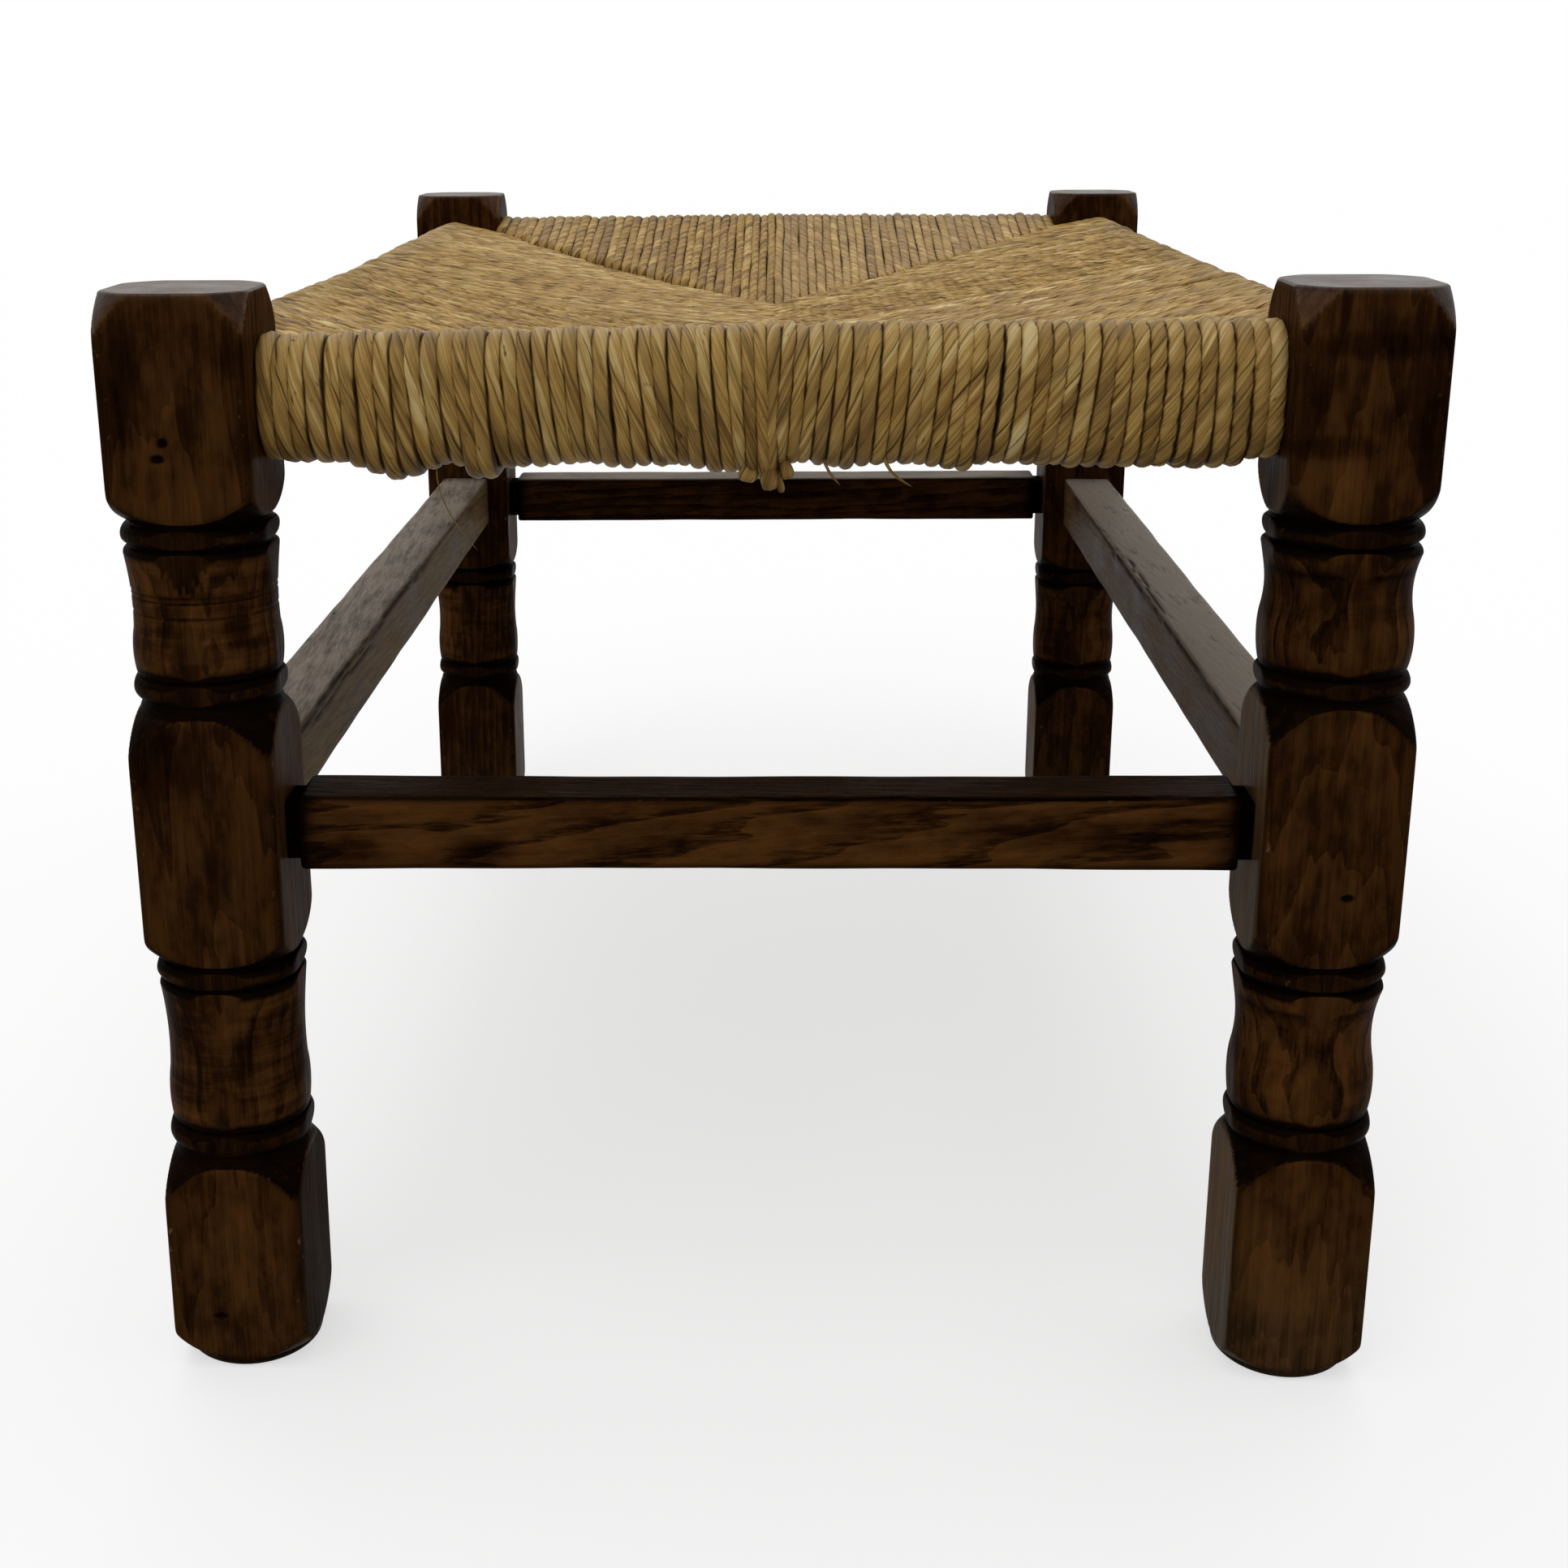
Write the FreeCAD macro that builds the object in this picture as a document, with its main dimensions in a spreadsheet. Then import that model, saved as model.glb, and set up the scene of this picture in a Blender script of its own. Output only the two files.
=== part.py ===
import FreeCAD, Part
import Sketcher
import os

# Rush seated stool: four turned legs, four stretchers, four seat rails, and a seat of rush cord
# wound over the rails in four panels, packed with loose rush. Millimetres, +Z up, the floor at
# z = 0 and the origin under the middle of the seat. The short ends face -Y and +Y.

doc = FreeCAD.newDocument("rush_stool")
sheet = doc.addObject("Spreadsheet::Sheet", "Sizes")

# Driving dimensions: cell name, value, what it measures
DIMENSIONS = [
    ("leg_block", 38.0, "width of the square leg stock"),
    ("leg_height", 300.0, "floor to leg top"),
    ("leg_centre_x", 147.5, "leg axis to the middle of the stool, across"),
    ("leg_centre_y", 242.0, "leg axis to the middle of the stool, lengthwise"),
    ("clear_radius", 28.0, "a radius outside the corners of the leg stock"),
    ("top_radius", 21.5, "turned rim of the leg top"),
    ("top_round", 10.5, "height of the rounded rim"),
    ("top_crown", 1.2, "bulge of the rounded rim"),
    ("sole_radius", 15.5, "flat sole of the foot"),
    ("sole_round", 5.0, "height of the sole's rounded edge"),
    ("sole_crown", 0.8, "bulge of the sole's rounded edge"),
    ("foot_round", 18.0, "height at which the foot's corners are whole"),
    ("foot_crown", 1.6, "bulge of the foot's turned corners"),
    ("upper_top", 242.5, "top of the upper turning"),
    ("upper_bead", 5.7, "bead with its groove, upper turning"),
    ("upper_waist", 33.0, "waist with its groove, upper turning"),
    ("lower_top", 124.0, "top of the lower turning"),
    ("lower_bead", 6.8, "bead with its groove, lower turning"),
    ("lower_waist", 41.3, "waist with its groove, lower turning"),
    ("groove_radius", 18.0, "bottom of the cut grooves"),
    ("groove_width", 0.7, "width of the cut grooves"),
    ("bead_root", 19.0, "radius where a bead rises from its groove"),
    ("first_crown", 2.2, "bulge of the bead under a block"),
    ("second_crown", 1.3, "bulge of the bead over a block"),
    ("waist_rim", 20.8, "radius of the waist's upper rim"),
    ("rim_drop", 1.8, "height of the waist's upper rim"),
    ("rim_crown", 0.5, "bulge of the waist's upper rim"),
    ("swell_root", 19.35, "radius where the waist's hollow ends"),
    ("swell_start", 0.66, "share of the waist above its swelling"),
    ("hollow_crown", 1.25, "depth of the waist's hollow"),
    ("swell_crown", 0.78, "bulge of the waist's swelling"),
    ("shoulder_round", 13.0, "height of a block's lower corner rounding"),
    ("shoulder_radius", 19.6, "radius where that rounding meets the groove"),
    ("shoulder_lift", 0.8, "height of that edge over the groove"),
    ("shoulder_crown", 1.8, "bulge of that rounding"),
    ("arch_land", 3.0, "height from a groove down to the flat face's arch"),
    ("arch_radius", 19.0, "radius at the top of the arch"),
    ("arch_round", 18.0, "height of a block's upper corner rounding"),
    ("arch_crown", 1.5, "bulge of that rounding"),
    ("stretcher_height", 158.5, "floor to the stretchers' middle line"),
    ("stretcher_width", 21.0, "stretcher section, across"),
    ("stretcher_arris", 1.5, "rounding of the stretcher's edges"),
    ("end_stretcher_depth", 20.5, "front and back stretcher section, upright"),
    ("side_stretcher_depth", 22.0, "side stretcher section, upright"),
    ("stretcher_tenon", 16.0, "square tenon of a stretcher"),
    ("stretcher_stand_off", 4.0, "bare tenon between shoulder and leg"),
    ("tenon_length", 10.0, "depth of a tenon in the leg"),
    ("mortise_spare", 0.5, "room past a tenon's end"),
    ("rail_width", 20.0, "seat rail section, across"),
    ("rail_depth", 22.0, "seat rail section, upright"),
    ("rail_round", 6.0, "rounding of the rail under the rush"),
    ("rail_height", 273.0, "floor to the rails' middle line"),
    ("rail_tenon_width", 10.0, "rail tenon, across"),
    ("rail_tenon_depth", 16.0, "rail tenon, upright"),
    ("rush", 4.5, "thickness of one layer of rush cord"),
    ("rush_spare", 0.25, "room between the rush and the rail"),
    ("seat_set_back", 7.6, "outer face of the leg to the face of the rush"),
    ("seat_bend", 11.5, "bend of the rush over a rail"),
    ("seat_crest", 290.3, "floor to the top of the rush on a rail"),
    ("seat_base", 257.0, "floor to the underside of the rush on a rail"),
    ("seam_top", 263.4, "floor to the seam in the middle of the seat, above"),
    ("seam_base", 253.0, "floor to the seam in the middle of the seat, below"),
    ("pocket_end", 13.0, "closed rush between the packing's pocket and the seam"),
    ("packing_spare", 0.5, "room around the packing"),
]

for row, (alias, value, note) in enumerate(DIMENSIONS, start=1):
    sheet.set("A%d" % row, note)
    sheet.set("B%d" % row, str(value))
    sheet.setAlias("B%d" % row, alias)
doc.recompute()


def cells(text):
    # Puts the sheet's name before each cell name in an expression.
    words = text.replace("(", " ( ").replace(")", " ) ").split()
    names = {alias for alias, value, note in DIMENSIONS}
    return " ".join("Sizes." + word if word in names else word for word in words)


def origin_feature(body, role):
    return [feature for feature in body.Origin.OriginFeatures if feature.Role == role][0]


def new_sketch(body, name, role, offset=None):
    # A sketch on one of the body's own origin planes, moved along the plane's normal by offset.
    sketch = body.newObject("Sketcher::SketchObject", name)
    sketch.AttachmentSupport = [(origin_feature(body, role), "")]
    sketch.MapMode = "FlatFace"
    if offset:
        sketch.setExpression("AttachmentOffset.Base.z", cells(offset))
    return sketch


def add_outline(sketch, corners):
    # A closed outline. Each corner is (x, y, edge): two expressions, and the edge to the next
    # corner, None for a line or (kind, expression, side) for an arc. Kind is "radius" or "crown",
    # the arc's bulge over its chord; side is 1 for a bulge to the left of the way on, -1 to the right.
    points = []
    for x, y, edge in corners:
        points.append(FreeCAD.Vector(sketch.evalExpression(cells(x)), sketch.evalExpression(cells(y)), 0))
    starts = []
    ends = []
    for index, (x, y, edge) in enumerate(corners):
        here = points[index]
        following = (index + 1) % len(corners)
        there = points[following]
        if edge is None:
            number = sketch.addGeometry(Part.LineSegment(here, there), False)
        else:
            kind, expression, side = edge
            far_x, far_y, far_edge = corners[following]
            chord = there - here
            if kind == "crown":
                square = "( ( %s ) - ( %s ) ) ^ 2 + ( ( %s ) - ( %s ) ) ^ 2" % (far_x, x, far_y, y)
                radius = cells("( %s ) / ( 8 * %s ) + %s / 2" % (square, expression, expression))
                crown = sketch.evalExpression(cells(expression))
            else:
                radius = cells(expression)
                size = sketch.evalExpression(radius)
                crown = size - (size ** 2 - (chord.Length / 2) ** 2) ** 0.5
            left = FreeCAD.Vector(-chord.y, chord.x, 0).normalize()
            middle = (here + there) / 2 + left * crown * side
            number = sketch.addGeometry(Part.Arc(here, middle, there), False)
            limit = sketch.addConstraint(Sketcher.Constraint("Radius", number, sketch.evalExpression(radius)))
            sketch.setExpression("Constraints[%d]" % limit, radius)
        forward = (sketch.getPoint(number, 1) - here).Length < (sketch.getPoint(number, 2) - here).Length
        starts.append((number, 1 if forward else 2))
        ends.append((number, 2 if forward else 1))
    for index, (x, y, edge) in enumerate(corners):
        here = points[index]
        sketch.addConstraint(Sketcher.Constraint("Coincident", *ends[index - 1], *starts[index]))
        for direction, expression, value in (("DistanceX", x, here.x), ("DistanceY", y, here.y)):
            limit = sketch.addConstraint(Sketcher.Constraint(direction, -1, 1, *starts[index], value))
            sketch.setExpression("Constraints[%d]" % limit, cells(expression))


def rectangle(low_x, low_y, high_x, high_y):
    return [(low_x, low_y, None), (high_x, low_y, None), (high_x, high_y, None), (low_x, high_y, None)]


def rounded_rectangle(middle_x, middle_y, width, height, radius):
    # Counter-clockwise, so each corner's arc bulges to the right of the way on.
    left = "%s - %s / 2" % (middle_x, width)
    right = "%s + %s / 2" % (middle_x, width)
    low = "%s - %s / 2" % (middle_y, height)
    high = "%s + %s / 2" % (middle_y, height)
    bend = ("radius", radius, -1)
    return [
        ("%s + %s" % (left, radius), low, None),
        ("%s - %s" % (right, radius), low, bend),
        (right, "%s + %s" % (low, radius), None),
        (right, "%s - %s" % (high, radius), bend),
        ("%s - %s" % (right, radius), high, None),
        ("%s + %s" % (left, radius), high, bend),
        (left, "%s - %s" % (high, radius), None),
        (left, "%s + %s" % (low, radius), bend),
    ]


LEAST_CUT = 1.0  # cubic millimetres


def check_cut(body, feature, before):
    # A cut that points away from the solid takes nothing off, and says nothing.
    doc.recompute()
    if not feature.Shape.Volume < before - LEAST_CUT:
        raise RuntimeError("%s takes nothing off %s" % (feature.Label, body.Label))
    return feature.Shape.Volume


def pad_both_ways(body, name, sketch, length):
    pad = body.newObject("PartDesign::Pad", name)
    pad.Profile = sketch
    pad.SideType = "Symmetric"
    pad.setExpression("Length", cells(length))
    return pad


def place(body, x, y, degrees):
    body.Placement = FreeCAD.Placement(FreeCAD.Vector(), FreeCAD.Rotation(FreeCAD.Vector(0, 0, 1), degrees))
    body.setExpression("Placement.Base.x", cells(x))
    body.setExpression("Placement.Base.y", cells(y))


def new_body(label):
    body = doc.addObject("PartDesign::Body", label)
    body.Label = label
    return body


# Legs

def turning_outline(top, bead, waist):
    # What the lathe takes off between two blocks, from the axis outwards: a groove, a bead, a groove,
    # a waist that hollows and swells, a groove, a bead, a groove and the arched start of the next block.
    def below(drop):
        return "%s - ( %s )" % (top, drop)

    waist_start = "%s + groove_width" % bead
    waist_end = "%s + %s" % (bead, waist)
    swell = "%s + %s * swell_start" % (bead, waist)
    last_groove = "2 * %s + %s" % (bead, waist)
    arch = "%s + groove_width + arch_land" % last_groove
    return [
        ("clear_radius", "%s + shoulder_round" % top, ("crown", "shoulder_crown", 1)),
        ("shoulder_radius", "%s + shoulder_lift" % top, None),
        ("groove_radius", top, None),
        ("groove_radius", below("groove_width"), None),
        ("bead_root", below("groove_width"), ("crown", "first_crown", 1)),
        ("bead_root", below(bead), None),
        ("groove_radius", below(bead), None),
        ("groove_radius", below(waist_start), None),
        ("bead_root", below(waist_start), ("crown", "rim_crown", 1)),
        ("waist_rim", below("%s + rim_drop" % waist_start), ("crown", "hollow_crown", -1)),
        ("swell_root", below(swell), ("crown", "swell_crown", 1)),
        ("bead_root", below(waist_end), None),
        ("groove_radius", below(waist_end), None),
        ("groove_radius", below("%s + groove_width" % waist_end), None),
        ("bead_root", below("%s + groove_width" % waist_end), ("crown", "second_crown", 1)),
        ("bead_root", below(last_groove), None),
        ("groove_radius", below(last_groove), None),
        ("groove_radius", below("%s + groove_width" % last_groove), None),
        ("arch_radius", below(arch), ("crown", "arch_crown", 1)),
        ("clear_radius", below("%s + arch_round" % arch), None),
    ]


TOP_RIM = [
    ("top_radius", "leg_height", ("crown", "top_crown", 1)),
    ("clear_radius", "leg_height - top_round", None),
    ("clear_radius", "leg_height", None),
]
FOOT_RIM = [
    ("sole_radius", "0", ("crown", "sole_crown", -1)),
    ("leg_block / 2", "sole_round", ("crown", "foot_crown", -1)),
    ("clear_radius", "foot_round", None),
    ("clear_radius", "0", None),
]

# The stretcher's mortise and the rail's, seen on an inner face: low and high corners.
STRETCHER_MORTISE = rectangle(
    "- stretcher_tenon / 2",
    "stretcher_height - stretcher_tenon / 2",
    "stretcher_tenon / 2",
    "stretcher_height + stretcher_tenon / 2",
)
RAIL_LINE = "seat_set_back + rush + rush_spare + rail_width / 2 - leg_block / 2"
RAIL_MORTISE = rectangle(
    "%s - rail_tenon_width / 2" % RAIL_LINE,
    "rail_height - rail_tenon_depth / 2",
    "%s + rail_tenon_width / 2" % RAIL_LINE,
    "rail_height + rail_tenon_depth / 2",
)


def make_leg(label, x, y, degrees):
    # Square stock, turned between its blocks, with mortises in its two inner faces, +X and +Y here.
    body = new_body(label)
    stock = new_sketch(body, label + "_stock", "XY_Plane")
    add_outline(stock, rectangle("- leg_block / 2", "- leg_block / 2", "leg_block / 2", "leg_block / 2"))
    pad = body.newObject("PartDesign::Pad", label + "_block")
    pad.Profile = stock
    pad.setExpression("Length", cells("leg_height"))
    doc.recompute()
    volume = pad.Shape.Volume
    cuts = [
        ("top_rim", TOP_RIM),
        ("upper_turning", turning_outline("upper_top", "upper_bead", "upper_waist")),
        ("lower_turning", turning_outline("lower_top", "lower_bead", "lower_waist")),
        ("foot_rim", FOOT_RIM),
    ]
    for name, outline in cuts:
        sketch = new_sketch(body, "%s_%s_outline" % (label, name), "XZ_Plane")
        add_outline(sketch, outline)
        groove = body.newObject("PartDesign::Groove", "%s_%s" % (label, name))
        groove.Profile = sketch
        groove.ReferenceAxis = (origin_feature(body, "Z_Axis"), [""])
        groove.Angle = 360
        volume = check_cut(body, groove, volume)
    # The XZ plane faces -Y, so its mortises lie at a negative offset and are cut the other way.
    faces = (("x_face", "YZ_Plane", "leg_block / 2", False), ("y_face", "XZ_Plane", "- leg_block / 2", True))
    for face, role, offset, backwards in faces:
        for name, outline in (("stretcher", STRETCHER_MORTISE), ("rail", RAIL_MORTISE)):
            sketch = new_sketch(body, "%s_%s_%s" % (label, name, face), role, offset)
            add_outline(sketch, outline)
            pocket = body.newObject("PartDesign::Pocket", "%s_%s_mortise_%s" % (label, name, face))
            pocket.Profile = sketch
            pocket.Reversed = backwards
            pocket.setExpression("Length", cells("tenon_length + mortise_spare"))
            volume = check_cut(body, pocket, volume)
    place(body, x, y, degrees)
    return body


# Pieces of one side. Each is drawn for the front, along X, with y = 0 on the legs' axes and +Y
# towards the middle of the seat, and is then turned to its side.

SEAT_FACE = "seat_set_back - leg_block / 2"
SEAT_BEND_END = SEAT_FACE + " + seat_bend"


def along_seat(y):
    # Share of the way from the bend over the rail to the seam.
    return "( ( %s ) - ( %s ) ) / ( leg_centre_x - ( %s ) )" % (y, SEAT_BEND_END, SEAT_BEND_END)


def seat_top(y):
    return "seat_crest + ( seam_top - seat_crest ) * %s" % along_seat(y)


def seat_underside(y):
    return "seat_base + ( seam_base - seat_base ) * %s" % along_seat(y)


POCKET_TIP = "leg_centre_x - pocket_end"
PANEL_OUTSIDE = [
    (SEAT_FACE, "seat_base + seat_bend", None),
    (SEAT_FACE, "seat_crest - seat_bend", ("radius", "seat_bend", 1)),
    (SEAT_BEND_END, "seat_crest", None),
    ("leg_centre_x", "seam_top", None),
    ("leg_centre_x", "seam_base", None),
    (SEAT_BEND_END, "seat_base", ("radius", "seat_bend", 1)),
]
PANEL_POCKET = [
    (SEAT_FACE + " + rush", "seat_base + seat_bend", None),
    (SEAT_FACE + " + rush", "seat_crest - seat_bend", ("radius", "seat_bend - rush", 1)),
    (SEAT_BEND_END, "seat_crest - rush", None),
    (POCKET_TIP, "%s - rush" % seat_top(POCKET_TIP), None),
    (POCKET_TIP, "%s + rush" % seat_underside(POCKET_TIP), None),
    (SEAT_BEND_END, "seat_base + rush", ("radius", "seat_bend - rush", 1)),
]
PACKING_START = RAIL_LINE + " + rail_width / 2 + packing_spare"
PACKING_TIP = POCKET_TIP + " - packing_spare"
PACKING_SECTION = [
    (PACKING_START, "%s + rush + packing_spare" % seat_underside(PACKING_START), None),
    (PACKING_TIP, "%s + rush + packing_spare" % seat_underside(PACKING_TIP), None),
    (PACKING_TIP, "%s - rush - packing_spare" % seat_top(PACKING_TIP), None),
    (PACKING_START, "%s - rush - packing_spare" % seat_top(PACKING_START), None),
]


def make_bar(label, section, half_length, tenon, half_reach):
    # A straight bar with a tenon at each end.
    body = new_body(label)
    sketch = new_sketch(body, label + "_section", "YZ_Plane")
    add_outline(sketch, section)
    pad_both_ways(body, label + "_bar", sketch, "2 * ( %s )" % half_length)
    sketch = new_sketch(body, label + "_tenon_section", "YZ_Plane")
    add_outline(sketch, tenon)
    pad_both_ways(body, label + "_tenons", sketch, "2 * ( %s )" % half_reach)
    return body


def cut_diagonals(body, label, half_length, spare):
    # Cuts both ends at 45 degrees, from the legs' inner corners to the seam.
    doc.recompute()
    volume = body.Shape.Volume
    seam_half = "( %s ) - ( leg_centre_x - leg_block / 2 )" % half_length
    for end, sign in (("right", ""), ("left", "- ")):
        sketch = new_sketch(body, "%s_%s_end" % (label, end), "XY_Plane")
        outline = [
            (seam_half, "leg_centre_x - %s" % spare),
            ("%s + leg_block" % half_length, "- leg_block / 2 - %s" % spare),
            ("%s + leg_block" % half_length, "leg_centre_x + leg_block"),
            (seam_half, "leg_centre_x + leg_block"),
        ]
        add_outline(sketch, [("%s( %s )" % (sign, x), y, None) for x, y in outline])
        pocket = body.newObject("PartDesign::Pocket", "%s_%s_mitre" % (label, end))
        pocket.Profile = sketch
        pocket.Reversed = True
        pocket.Type = "ThroughAll"
        volume = check_cut(body, pocket, volume)


def make_side(side, x, y, degrees, half_clear, stretcher_depth):
    # Stretcher, seat rail, rush panel and packing of one side; half_clear is half the way between legs.
    parts = []
    reach = half_clear + " + tenon_length"
    shoulder = half_clear + " - stretcher_stand_off"
    width = "stretcher_width"
    section = rounded_rectangle("0", "stretcher_height", width, stretcher_depth, "stretcher_arris")
    parts.append(make_bar(side + "_stretcher", section, shoulder, STRETCHER_MORTISE, reach))

    section = rounded_rectangle(RAIL_LINE, "rail_height", "rail_width", "rail_depth", "rail_round")
    parts.append(make_bar(side + "_seat_rail", section, half_clear, RAIL_MORTISE, reach))

    label = side + "_rush_panel"
    body = new_body(label)
    sketch = new_sketch(body, label + "_section", "YZ_Plane")
    add_outline(sketch, PANEL_OUTSIDE)
    add_outline(sketch, PANEL_POCKET)
    pad_both_ways(body, label + "_layers", sketch, "2 * ( %s )" % half_clear)
    cut_diagonals(body, label, half_clear, "0")
    parts.append(body)

    label = side + "_rush_packing"
    body = new_body(label)
    sketch = new_sketch(body, label + "_section", "YZ_Plane")
    add_outline(sketch, PACKING_SECTION)
    pad_both_ways(body, label + "_wad", sketch, "2 * ( %s - packing_spare )" % half_clear)
    cut_diagonals(body, label, half_clear, "packing_spare")
    parts.append(body)

    for body in parts:
        place(body, x, y, degrees)
    return parts


END_CLEAR = "leg_centre_x - leg_block / 2"
SIDE_CLEAR = "leg_centre_y - leg_block / 2"

pieces = [
    make_leg("front_left_leg", "- leg_centre_x", "- leg_centre_y", 0),
    make_leg("front_right_leg", "leg_centre_x", "- leg_centre_y", 90),
    make_leg("back_right_leg", "leg_centre_x", "leg_centre_y", 180),
    make_leg("back_left_leg", "- leg_centre_x", "leg_centre_y", 270),
]
pieces += make_side("front", "0", "- leg_centre_y", 0, END_CLEAR, "end_stretcher_depth")
pieces += make_side("right", "leg_centre_x", "0", 90, SIDE_CLEAR, "side_stretcher_depth")
pieces += make_side("back", "0", "leg_centre_y", 180, END_CLEAR, "end_stretcher_depth")
pieces += make_side("left", "- leg_centre_x", "0", 270, SIDE_CLEAR, "side_stretcher_depth")

doc.recompute()
for item in doc.Objects:
    if "Invalid" in item.State or "Error" in item.State:
        raise RuntimeError("%s did not build: %s" % (item.Label, item.State))
for body in pieces:
    if body.Shape.isNull() or not body.Shape.isValid() or len(body.Shape.Solids) != 1:
        raise RuntimeError("%s is not one valid solid" % body.Label)

os.makedirs("parts", exist_ok=True)
for body in pieces:
    body.Shape.exportStep("parts/%s.step" % body.Label)
    print(body.Label, "%.1f cm3" % (body.Shape.Volume / 1000))
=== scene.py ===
import math
from functools import partial
import bpy
import numpy as np
from mathutils import Matrix, Vector


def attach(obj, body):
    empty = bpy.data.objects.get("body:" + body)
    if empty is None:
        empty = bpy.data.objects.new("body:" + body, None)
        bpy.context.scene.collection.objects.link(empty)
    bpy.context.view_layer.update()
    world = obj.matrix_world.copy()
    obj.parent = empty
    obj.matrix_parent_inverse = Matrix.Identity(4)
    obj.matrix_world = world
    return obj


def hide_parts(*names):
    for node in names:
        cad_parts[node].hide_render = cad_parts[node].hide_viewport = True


# Rush-seated oak stool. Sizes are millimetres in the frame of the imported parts, until a mesh is made.

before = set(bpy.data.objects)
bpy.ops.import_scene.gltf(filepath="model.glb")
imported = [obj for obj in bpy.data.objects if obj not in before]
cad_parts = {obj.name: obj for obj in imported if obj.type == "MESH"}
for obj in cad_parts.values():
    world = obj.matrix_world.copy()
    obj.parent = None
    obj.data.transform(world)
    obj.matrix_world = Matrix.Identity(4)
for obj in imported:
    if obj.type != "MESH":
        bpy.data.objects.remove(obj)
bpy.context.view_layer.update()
mm = 0.001
chance = np.random.default_rng(1895)
scene = bpy.context.scene
print("frame:", len(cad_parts), "nodes")

stool = {
    "legX": 147.5,  # leg axes from the middle, across
    "legY": 242.0,  # leg axes from the middle, lengthwise
    "block": 38.0,  # square leg stock
    "clearEnd": 128.5,  # half the way between the legs at the ends
    "clearSide": 223.0,  # half the way between the legs at the sides
}


# Meshes

def vectors(x, y, z):
    return np.stack(np.broadcast_arrays(x, y, z), -1)


def highest(*values):
    return np.maximum.reduce(np.broadcast_arrays(*values))


def gridMesh(name, points, marks):
    # points has the shape (strips, rings, sides, 3). Quads join each ring to the next and each side to the
    # next, the last side to the first, and one face closes each end of a strip. marks holds vectors per point.
    strips, rings, sides, _ = points.shape
    number = np.arange(strips * rings * sides).reshape(strips, rings, sides)
    onward = np.roll(number, -1, axis=2)
    quads = np.stack([number[:, :-1], onward[:, :-1], onward[:, 1:], number[:, 1:]], axis=-1).reshape(-1, 4)
    ends = np.concatenate([number[:, 0, ::-1], number[:, -1]])
    flat = points.reshape(-1, 3)
    a, b, c = (flat[quads[:, i]] for i in range(3))
    if np.einsum("ij,ij->i", a - flat.mean(0), np.cross(b - a, c - a)).sum() < 0:  # turned inside out
        quads, ends = quads[:, ::-1], ends[:, ::-1]
    corners = np.concatenate([quads.ravel(), ends.ravel()])
    starts = np.concatenate([np.arange(len(quads)) * 4, quads.size + np.arange(len(ends)) * sides])
    mesh = bpy.data.meshes.new(name)
    mesh.vertices.add(len(flat))
    mesh.vertices.foreach_set("co", (flat * mm).ravel())
    mesh.loops.add(len(corners))
    mesh.loops.foreach_set("vertex_index", corners.astype(np.int32))
    mesh.polygons.add(len(starts))
    mesh.polygons.foreach_set("loop_start", starts.astype(np.int32))
    mesh.polygons.foreach_set("use_smooth", np.ones(len(starts), bool))
    mesh.update(calc_edges=True)
    for mark, values in marks.items():
        layer = mesh.attributes.new(mark, "FLOAT_VECTOR", "POINT")
        layer.data.foreach_set("vector", np.broadcast_to(values, points.shape).astype(np.float32).ravel())
    mesh.validate()
    return mesh


def addPiece(name, mesh, material, slot, *nodes):
    piece = bpy.data.objects.new(name, mesh)
    scene.collection.objects.link(piece)
    mesh.materials.append(material)
    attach(piece, "root")
    if nodes:
        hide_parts(*nodes)


def turned(points, degrees):
    # Turns points about Z.
    angle = math.radians(degrees)
    spin = np.array([[math.cos(angle), math.sin(angle), 0], [-math.sin(angle), math.cos(angle), 0], [0, 0, 1]])
    return points @ spin


def smoothStep(low, high, value):
    share = np.clip((value - low) / (high - low), 0, 1)
    return share * share * (3 - 2 * share)


def squareAngles(sides):
    # Angles round a square section, evenly spaced and half a step off its corners.
    return (np.arange(sides) + 0.5) * 2 * np.pi / sides - np.pi / 4


def squareReach(angle, power):
    # From the middle to the edge of a square of half width 1 with rounded corners: a superellipse, which is
    # sharper the higher its power is.
    return (np.abs(np.cos(angle)) ** power + np.abs(np.sin(angle)) ** power) ** (-1 / power)


def growthRings(across, up, along, pith):
    # Rings counted out from the pith: the distance to a line that leans a little against the grain, over the
    # width of a ring. pith is where that line passes and its lean, both ways.
    ringWidth = 3.4
    out = np.hypot(across - pith[0] - pith[2] * along, up - pith[1] - pith[3] * along)
    return out[..., None] / ringWidth


def patchTone(patches, across, up, sharp):
    # How much lighter or darker the patches make the stain, each over an ellipse with a soft edge.
    tone = 0
    for middle, high, wide, tall, amount in patches:
        tone = tone + amount * smoothStep(1.5, sharp, np.hypot((across - middle) / wide, (up - high) / tall))
    return tone


# Materials

def hexColour(text):
    channels = [int(text[i:i + 2], 16) / 255 for i in (1, 3, 5)]
    return [c / 12.92 if c <= 0.04045 else ((c + 0.055) / 1.055) ** 2.4 for c in channels] + [1.0]


def addNode(tree, kind, inputs=None, stops=None, **settings):
    # One shader node: its properties, its inputs (a value, a colour in hex or another node's output) and its
    # ramp's stops, each a colour in hex or a grey.
    node = tree.nodes.new("ShaderNode" + kind)
    for key, value in settings.items():
        setattr(node, key, value)
    for key, value in (inputs or {}).items():
        if isinstance(value, bpy.types.NodeSocket):
            tree.links.new(value, node.inputs[key])
        else:
            node.inputs[key].default_value = hexColour(value) if isinstance(value, str) else value
    for i, (position, colour) in enumerate(stops or []):
        stop = node.color_ramp.elements[i] if i < 2 else node.color_ramp.elements.new(position)
        stop.position = position
        stop.color = hexColour(colour) if isinstance(colour, str) else (colour, colour, colour, 1.0)
    return node.outputs


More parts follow.
